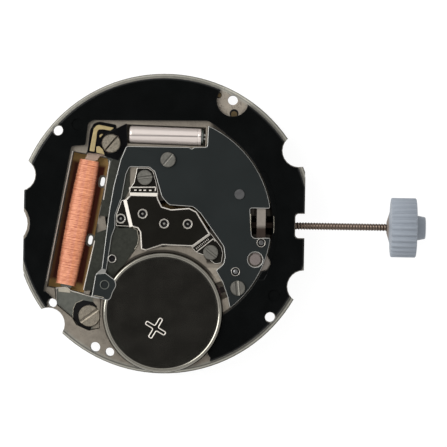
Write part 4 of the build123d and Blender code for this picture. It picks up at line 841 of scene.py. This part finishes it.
def bearings():
    """The four bearing rings with their oil sinks painted black as shade, and such rings round the rivets
    and the board's pin, whose bright rings are painted highlights on the edges of their holes.
    """
    rings, sinks = Shape(), Shape()
    bush = (0.375, 0.095, 0.11)
    for place in TRAIN_BEARINGS:
        ringed(rings, sinks, place, BRIDGE_TOP, 0.21, *bush)
    ringed(rings, sinks, ROTOR_BEARING, PLATE_TOP, 0.15, *bush)
    rings.make("bearing_rings", "ring_metal", "gilt", ["bridge_bushes"], smooth=35.0)
    sinks.make("bearing_sinks", "shade_black", "gilt", smooth=35.0)
    # Painted highlight and painted shade: bright rings and black sinks round the rivets and the board's pin
    rings, sinks = Shape(), Shape()
    for place in RIVETS:
        ringed(rings, sinks, place, COVER_TOP, 0.08, 0.36, 0.065, 0.2)
    ringed(rings, sinks, BOARD_PIN, BOARD_TOP, 0.13, 0.34, 0.08, 0.02)
    rings.make("rivet_rings", "ring_metal", "steel", smooth=35.0)
    sinks.make("rivet_sinks", "shade_black", "steel", smooth=35.0)


def heads(name, finish, slot, replaced, segments, profiles):
    """Turned heads of one piece, each with a place, a level and a profile that counts from the level."""
    shape = Shape()
    for place, level, profile in profiles:
        shape.add(*turned(profile, segments, place, level))
    shape.make(name, finish, slot, replaced, smooth=35.0)


def disc(radius, depth, height):
    """The profile of a disc that starts a depth below its level."""
    return [(0.0, -depth), (radius, -depth), (radius, height), (0.0, height)]


def buttons():
    """Heads of the steady pins and the rivets, and painted shade for the recesses in the plate's upper right
    relief:
    black discs with darker gilt floors.
    """
    stud = [(0.0, -0.2), (0.2, -0.2), (0.2, 0.0), (0.4, 0.0), (0.4, 0.05), (0.38, 0.07), (0.0, 0.07)]
    upper = [(0.0, -0.25), (0.2, -0.25), (0.2, 0.05), (0.17, 0.08), (0.12, 0.085), (0.0, 0.085)]
    lower = [(0.0, -0.25), (0.2, -0.25), (0.2, 0.06), (0.17, 0.1), (0.1, 0.13), (0.0, 0.135)]
    heads("steady_pin_heads", "pin_steel", "steel", ["steady_pins"], 40,
          [(COVER_PIN, COVER_TOP, stud), (BOARD_PIN, BOARD_TOP, disc(0.24, 0.2, 0.0))])
    heads("rivet_heads", "pin_steel", "steel", ["cover_rivets"], 40,
          [(RIVETS[0], COVER_TOP, upper), (RIVETS[1], COVER_TOP, lower)])
    # Painted shade: the relief's recesses are black discs laid on the plate, with gilt floors darkened
    recesses = (((4.16, 10.31), 0.26), ((5.42, 8.86), 0.36))
    floors = (((4.22, 10.3), 0.17), ((5.42, 8.8), 0.25))
    heads("relief_recesses", "shade_black", "nickel", (), 32,
          [(place, PLATE_TOP, disc(radius, 0.01, 0.004)) for place, radius in recesses])
    heads("relief_floors", "gilt_in_shade", "nickel", (), 32,
          [(place, PLATE_TOP, disc(radius, 0.01, 0.01)) for place, radius in floors])


def strips():
    """The gilt contact strips at the coil's upper end: rounded outlines with a thickness."""
    outlines = [
        [(-6.04, 5.68), (-5.88, 6.66), (-5.74, 7.45), (-5.53, 7.72), (-5.29, 7.78), (-4.81, 7.69),
         (-4.12, 7.56), (-4.4, 7.32), (-4.92, 7.41), (-5.33, 7.4), (-5.46, 7.2), (-5.51, 6.67),
         (-5.65, 5.62)],
        [(-5.5, 6.05), (-5.26, 6.08), (-4.99, 5.83), (-4.78, 5.62), (-4.56, 5.46), (-4.88, 5.43),
         (-5.5, 5.56)],
        [(-5.27, 6.96), (-5.12, 7.06), (-4.96, 7.03), (-5.24, 6.74)],
    ]
    shape = Shape()
    for outline in outlines:
        shape.add(*prism(rounded(outline, 0.06, 3), BOARD_TOP, BOARD_TOP + 0.06, 0.012))
    shape.make("gilt_strips", "gilt", "gilt", ["contact_strips"])


# Stem and crown
def stem():
    """The stem: plain bearings turned about its axis, a square, and a thread whose depth follows a helix."""
    shape = Shape()
    pilot = [(0.0, 4.45), (0.12, 4.45), (0.17, 4.5), (0.17, 5.15), (0.0, 5.15)]
    bearing = [(0.0, 7.33), (0.38, 7.33), (0.4, 7.36), (0.4, 7.56), (0.38, 7.58), (0.2, 7.58), (0.2, 7.88),
               (0.38, 7.88), (0.4, 7.9), (0.4, 10.2), (0.35, 10.25), (0.0, 10.25)]
    for profile, segments in ((pilot, 32), (bearing, 40)):
        points, faces = turned(profile, segments)
        shape.add(along_stem(points), faces)
    side = 0.23
    corners = [(-side, -side), (side, -side), (side, side), (-side, side)]
    points, faces, *caps = prism(rounded(corners, 0.04, 3), 5.15, 7.34)
    shape.add(along_stem(points), faces, *caps)
    pitch, start, end, around, per_turn = 0.225, 10.22, 18.2, 36, 8
    rows = int((end - start) / pitch * per_turn) + 1
    along = np.linspace(start, end, rows)[:, None]
    angle = np.linspace(0.0, 2.0 * pi, around, endpoint=False)[None, :]
    phase = along / pitch - angle / (2.0 * pi)
    radius = 0.3 - 0.06 * (0.5 - 0.5 * np.cos(2.0 * pi * phase)) ** 0.8
    along = np.broadcast_to(along, radius.shape)
    points = np.stack([radius * np.cos(angle), radius * np.sin(angle), along], axis=-1)
    shape.add(along_stem(points.reshape(-1, 3)), grid(rows, around))
    shape.make("stem_threaded", "stem_steel", "steel", ["winding_stem"], smooth=35.0, body="stem")


def crown():
    """The crown: stations along its axis, each with a radius and a share of the flutes' depth. The radius
    dips once for each flute round the drum."""
    start, flutes, per_flute, flute_depth = 18.05, 28, 10, 0.16
    stations = [(-0.3, 0.3, 0), (-0.3, 0.5, 0), (-0.27, 0.58, 0), (-0.02, 1.4, 0), (0.0, 1.5, 0),
                (0.0, 2.1, 0.1), (0.03, 2.3, 0.8), (0.1, 2.37, 1), (1.98, 2.37, 1), (2.05, 2.3, 0.8),
                (2.08, 2.1, 0.1), (2.08, 1.3, 0), (2.08, 1.05, 0), (2.1, 1.0, 0), (2.72, 0.88, 0),
                (2.78, 0.84, 0), (2.8, 0.78, 0), (2.8, 0.3, 0), (2.8, 0.0, 0)]
    along, radius, depth = np.array(stations, float).T
    angle = np.linspace(0.0, 2.0 * pi, flutes * per_flute, endpoint=False)[None, :]
    dip = (0.5 - 0.5 * np.cos(flutes * angle)) ** 1.4
    wide = radius[:, None] - flute_depth * depth[:, None] * dip
    along = np.broadcast_to(along[:, None], wide.shape)
    points = np.stack([wide * np.cos(angle), wide * np.sin(angle), along], axis=-1)
    shape = Shape().add(along_stem(points.reshape(-1, 3), start), grid(*wide.shape))
    shape.make("crown_fluted", "crown_plastic", "crown_plastic", ["transport_crown"],
               smooth=40.0, body="stem")


# Fine lines and patches
def bridge_lines():
    """Painted highlights on the bridge's two feet: bright ridges where its folds catch the light, with a row
    of short bright bars beside each.
    """
    shape = Shape()
    ridges(shape, BRIDGE_TOP, 0.1, 0.04, (-2.76, 2.55), (-2.8, 2.84), (-0.72, 2.89), (-0.74, 2.58))
    ridges(shape, BRIDGE_TOP, 0.08, 0.03, (2.6, -2.23), (3.95, -1.13), (4.1, -1.34))
    low, high, edge = BRIDGE_TOP - 0.02, BRIDGE_TOP + 0.015, 0.01
    for middle in (-2.33, -1.95, -1.59, -1.15):
        shape.add(*prism(bar((middle - 0.1, 2.62), (middle + 0.1, 2.63), 0.1), low, high, edge))
    for share in np.linspace(0.12, 0.8, 9):
        foot = np.array([2.5, -2.12]) + share * np.array([1.35, 1.1])
        shape.add(*prism(bar(foot, foot + [-0.09, 0.11], 0.04), low, high, edge))
    shape.make("bridge_lines", "highlight_trim", "bridge_black")


def pocket_lines():
    """Painted highlights: bright ridges along the walls of the coil's pocket and the core's lug."""
    shape = Shape()
    lug = [(-8.5, -6.3), (-8.53, -5.3), (-7.68, -5.2), (-7.36, -5.48), (-5.66, -5.94)]
    ridges(shape, PLATE_TOP, 0.13, 0.04, (-7.4, 5.7), (-9.3, -4.75))
    ridges(shape, BOARD_TOP, 0.07, 0.03, (-4.4, 4.95), (-4.86, 1.8))
    ridges(shape, BOARD_TOP, 0.09, 0.03, (-5.5, -1.45), (-6.32, -5.4))
    ridges(shape, CORE_TOP, 0.08, 0.03, *lug)
    shape.make("pocket_lines", "highlight_trim", "nickel")


def bright_patches():
    """The bright end of the coil's core, and painted highlights as softer ridges: beside the bridge and the
    left motor screw, on the bridle tab, at the cover's window and on the frame beside it."""
    shape = Shape()
    beside_bridge = [(-2.45, -0.39), (-2.14, -0.54), (-2.0, -1.2), (-2.09, -1.7), (-2.3, -2.1)]
    beside_screw = [(-6.36, -6.19), (-6.93, -6.44), (-7.13, -6.88), (-7.16, -7.7)]
    core_end = [(-8.36, -5.29), (-7.66, -5.24), (-7.42, -5.5), (-7.4, -5.66), (-8.34, -5.58)]
    ridges(shape, BOARD_TOP, 0.08, 0.03, *beside_bridge)
    ridges(shape, CORE_TOP + 0.01, 0.05, 0.02, *beside_screw)
    ridges(shape, TAB_TOP - 0.01, 0.17, 0.02, (-5.5, -5.79), (-4.6, -5.97))
    ridges(shape, COVER_TOP, 0.06, 0.02, (6.885, 0.9), (6.885, 0.1), (6.93, -0.5))
    ridges(shape, FRAME_LEDGE, 0.045, 0.015, *arc(FRAME_OPENING + 0.09, -4.0, 5.0, 10))
    shape.add(*prism(core_end, CORE_TOP, CORE_TOP + 0.025, 0.01))
    shape.make("core_end_patch", "nickel_bright", "soft_iron")


def screw_pocket():
    """Painted shade: a thin black sheet over the recess round the left motor screw."""
    outline = [(-6.31, -6.22), (-6.9, -6.48), (-7.1, -6.9), (-7.12, -7.7), (-6.62, -8.32), (-5.78, -8.6),
               (-5.6, -8.3), (-5.15, -8.05), (-5.15, -7.6), (-5.35, -7.3), (-5.25, -6.7), (-5.55, -6.36)]
    shape = Shape().add(*prism(outline, CORE_TOP - 0.01, CORE_TOP + 0.012))
    shape.make("screw_pocket", "shade_black", "black_plastic")


def tab_ring():
    """The ring round the recess of the bridle tab: a closed profile turned about its place."""
    profile = [(0.3, -0.02), (0.38, -0.02), (0.37, 0.012), (0.31, 0.012)]
    shape = Shape().add(*turned(profile, 40, TAB_MARK, TAB_TOP, True))
    shape.make("tab_dimple", "soft_iron", "cover_slate")


sheets()
strips()
cell()
winding()
crystal()
screws()
bearings()
buttons()
stem()
crown()
bridge_lines()
pocket_lines()
bright_patches()
screw_pocket()
tab_ring()

# Finishes of the solids that show as they are
cad_finishes = {
    "nickel": ["main_plate", "motion_cover"],
    "seal": ["cell_gasket"],
    "cell_steel": ["cell_cap"],
    "gilt": ["negative_contact"],
    "dark_film": ["insulating_film", "cell_side_spring"],
    "jewel": ["rotor_jewel"],
    "board": ["circuit_board"],
    "epoxy": ["integrated_circuit"],
    "glass_seal": ["crystal_base"],
    "iron": ["coil_core"],
    "soft_iron": ["stator"],
    "amber_film": ["coil_film"],
    "magnet": ["rotor_magnet"],
    "brass": ["minute_wheel", "hour_wheel"],
    # Painted shade: the train wheels are darkened brass
    "brass_in_shade": ["intermediate_wheel", "seconds_wheel", "third_wheel", "centre_wheel"],
    "lever_steel": ["setting_lever"],
    "steel": ["crystal_leads", "motion_cover_screws", "rotor_pinion", "intermediate_pinion", "seconds_arbor",
              "third_pinion", "cannon_pinion", "setting_wheel"],
    "spring_steel": ["setting_spring"],
    # Painted shade: yoke and clutch are darkened steel
    "steel_in_shade": ["yoke", "clutch_pinion"],
}
for finish, names in cad_finishes.items():
    for name in names:
        slots = nodes[name].data.materials
        slots.clear()
        slots.append(finishes[finish])


# Floor, light and camera
def floor():
    """A pale floor below the hands' arbors, white to the camera and keeping the shadow."""
    size, level = 600.0, -1.76
    mesh = bpy.data.meshes.new("floor")
    corners = [(-size, -size, level), (size, -size, level), (size, size, level), (-size, size, level)]
    mesh.from_pydata(corners, [], [(0, 1, 2, 3)])
    mesh.transform(scale_matrix)
    shader = material("floor_white")
    first, *others = ("Is Camera Ray", "Is Glossy Ray", "Is Transmission Ray")
    seen = shader.node("ShaderNodeLightPath", output=first)
    for path in others:
        seen = seen.maths("MAXIMUM", seen, shader.node("ShaderNodeLightPath", output=path))
    glow = shader.node("ShaderNodeEmission", {"Color": (1.0, 1.0, 1.0), "Strength": 0.9})
    faint = shader.node("ShaderNodeBsdfDiffuse", {"Color": (0.14, 0.14, 0.14)})
    bright = shader.node("ShaderNodeAddShader", [glow, faint])
    matt = shader.node("ShaderNodeBsdfDiffuse", {"Color": (0.8, 0.8, 0.8)})
    mesh.materials.append(shader.finish(shader.node("ShaderNodeMixShader", [seen, matt, bright])))
    plane = bpy.data.objects.new("floor", mesh)
    bpy.context.scene.collection.objects.link(plane)


def dome():
    """A white dome, dark straight overhead, where the camera stands, and in a narrow band beside it."""
    world = bpy.data.worlds.new("dome")
    bpy.context.scene.world = world
    shader = Shader(world, "ShaderNodeOutputWorld")
    way = shader.node("ShaderNodeTexCoord", output="Generated")
    x, y, height = [shader.axis(way, index) for index in range(3)]
    open_sky = 1.0 - height.step(cos(radians(14.0)), cos(radians(7.5)))
    band = (y + height * 0.78).absolute().step(0.02, 0.05)
    level = 0.03 + open_sky * (1.0 - x * 0.2) * (0.35 + band * 0.65)
    seen = shader.node("ShaderNodeLightPath", output="Is Camera Ray")
    strength = level.maths("MAXIMUM", level, seen)
    white = (1.0, 1.0, 1.0)
    shader.finish(shader.node("ShaderNodeBackground", {"Color": white, "Strength": strength}))


def softbox():
    """A soft lamp from the upper left."""
    lamp = bpy.data.lights.new("left_softbox", "AREA")
    lamp.shape = "RECTANGLE"
    lamp.size, lamp.size_y = 160.0 * MILLIMETRE, 120.0 * MILLIMETRE
    lamp.energy = 0.35
    holder = bpy.data.objects.new("left_softbox", lamp)
    holder.location = (-130.0 * MILLIMETRE, 50.0 * MILLIMETRE, 140.0 * MILLIMETRE)
    holder.rotation_euler = (radians(-18.0), radians(-42.0), 0.0)
    bpy.context.scene.collection.objects.link(holder)


def camera():
    """The photograph's camera: straight down, one degree of roll, 35.59 mm across at the cover's level."""
    across, distance, sensor, middle = 35.59, 300.0, 36.0, (4.73, 0.09)
    eye = bpy.data.cameras.new("camera")
    eye.sensor_width = sensor
    eye.lens = sensor * distance / across
    eye.clip_start, eye.clip_end = 0.01, 5.0
    holder = bpy.data.objects.new("camera", eye)
    holder.location = [size * MILLIMETRE for size in (*middle, distance + COVER_TOP)]
    holder.rotation_euler = (0.0, 0.0, radians(1.0))
    bpy.context.scene.collection.objects.link(holder)
    bpy.context.scene.camera = holder


floor()
dome()
softbox()
camera()
bpy.context.scene.view_settings.view_transform = "Standard"
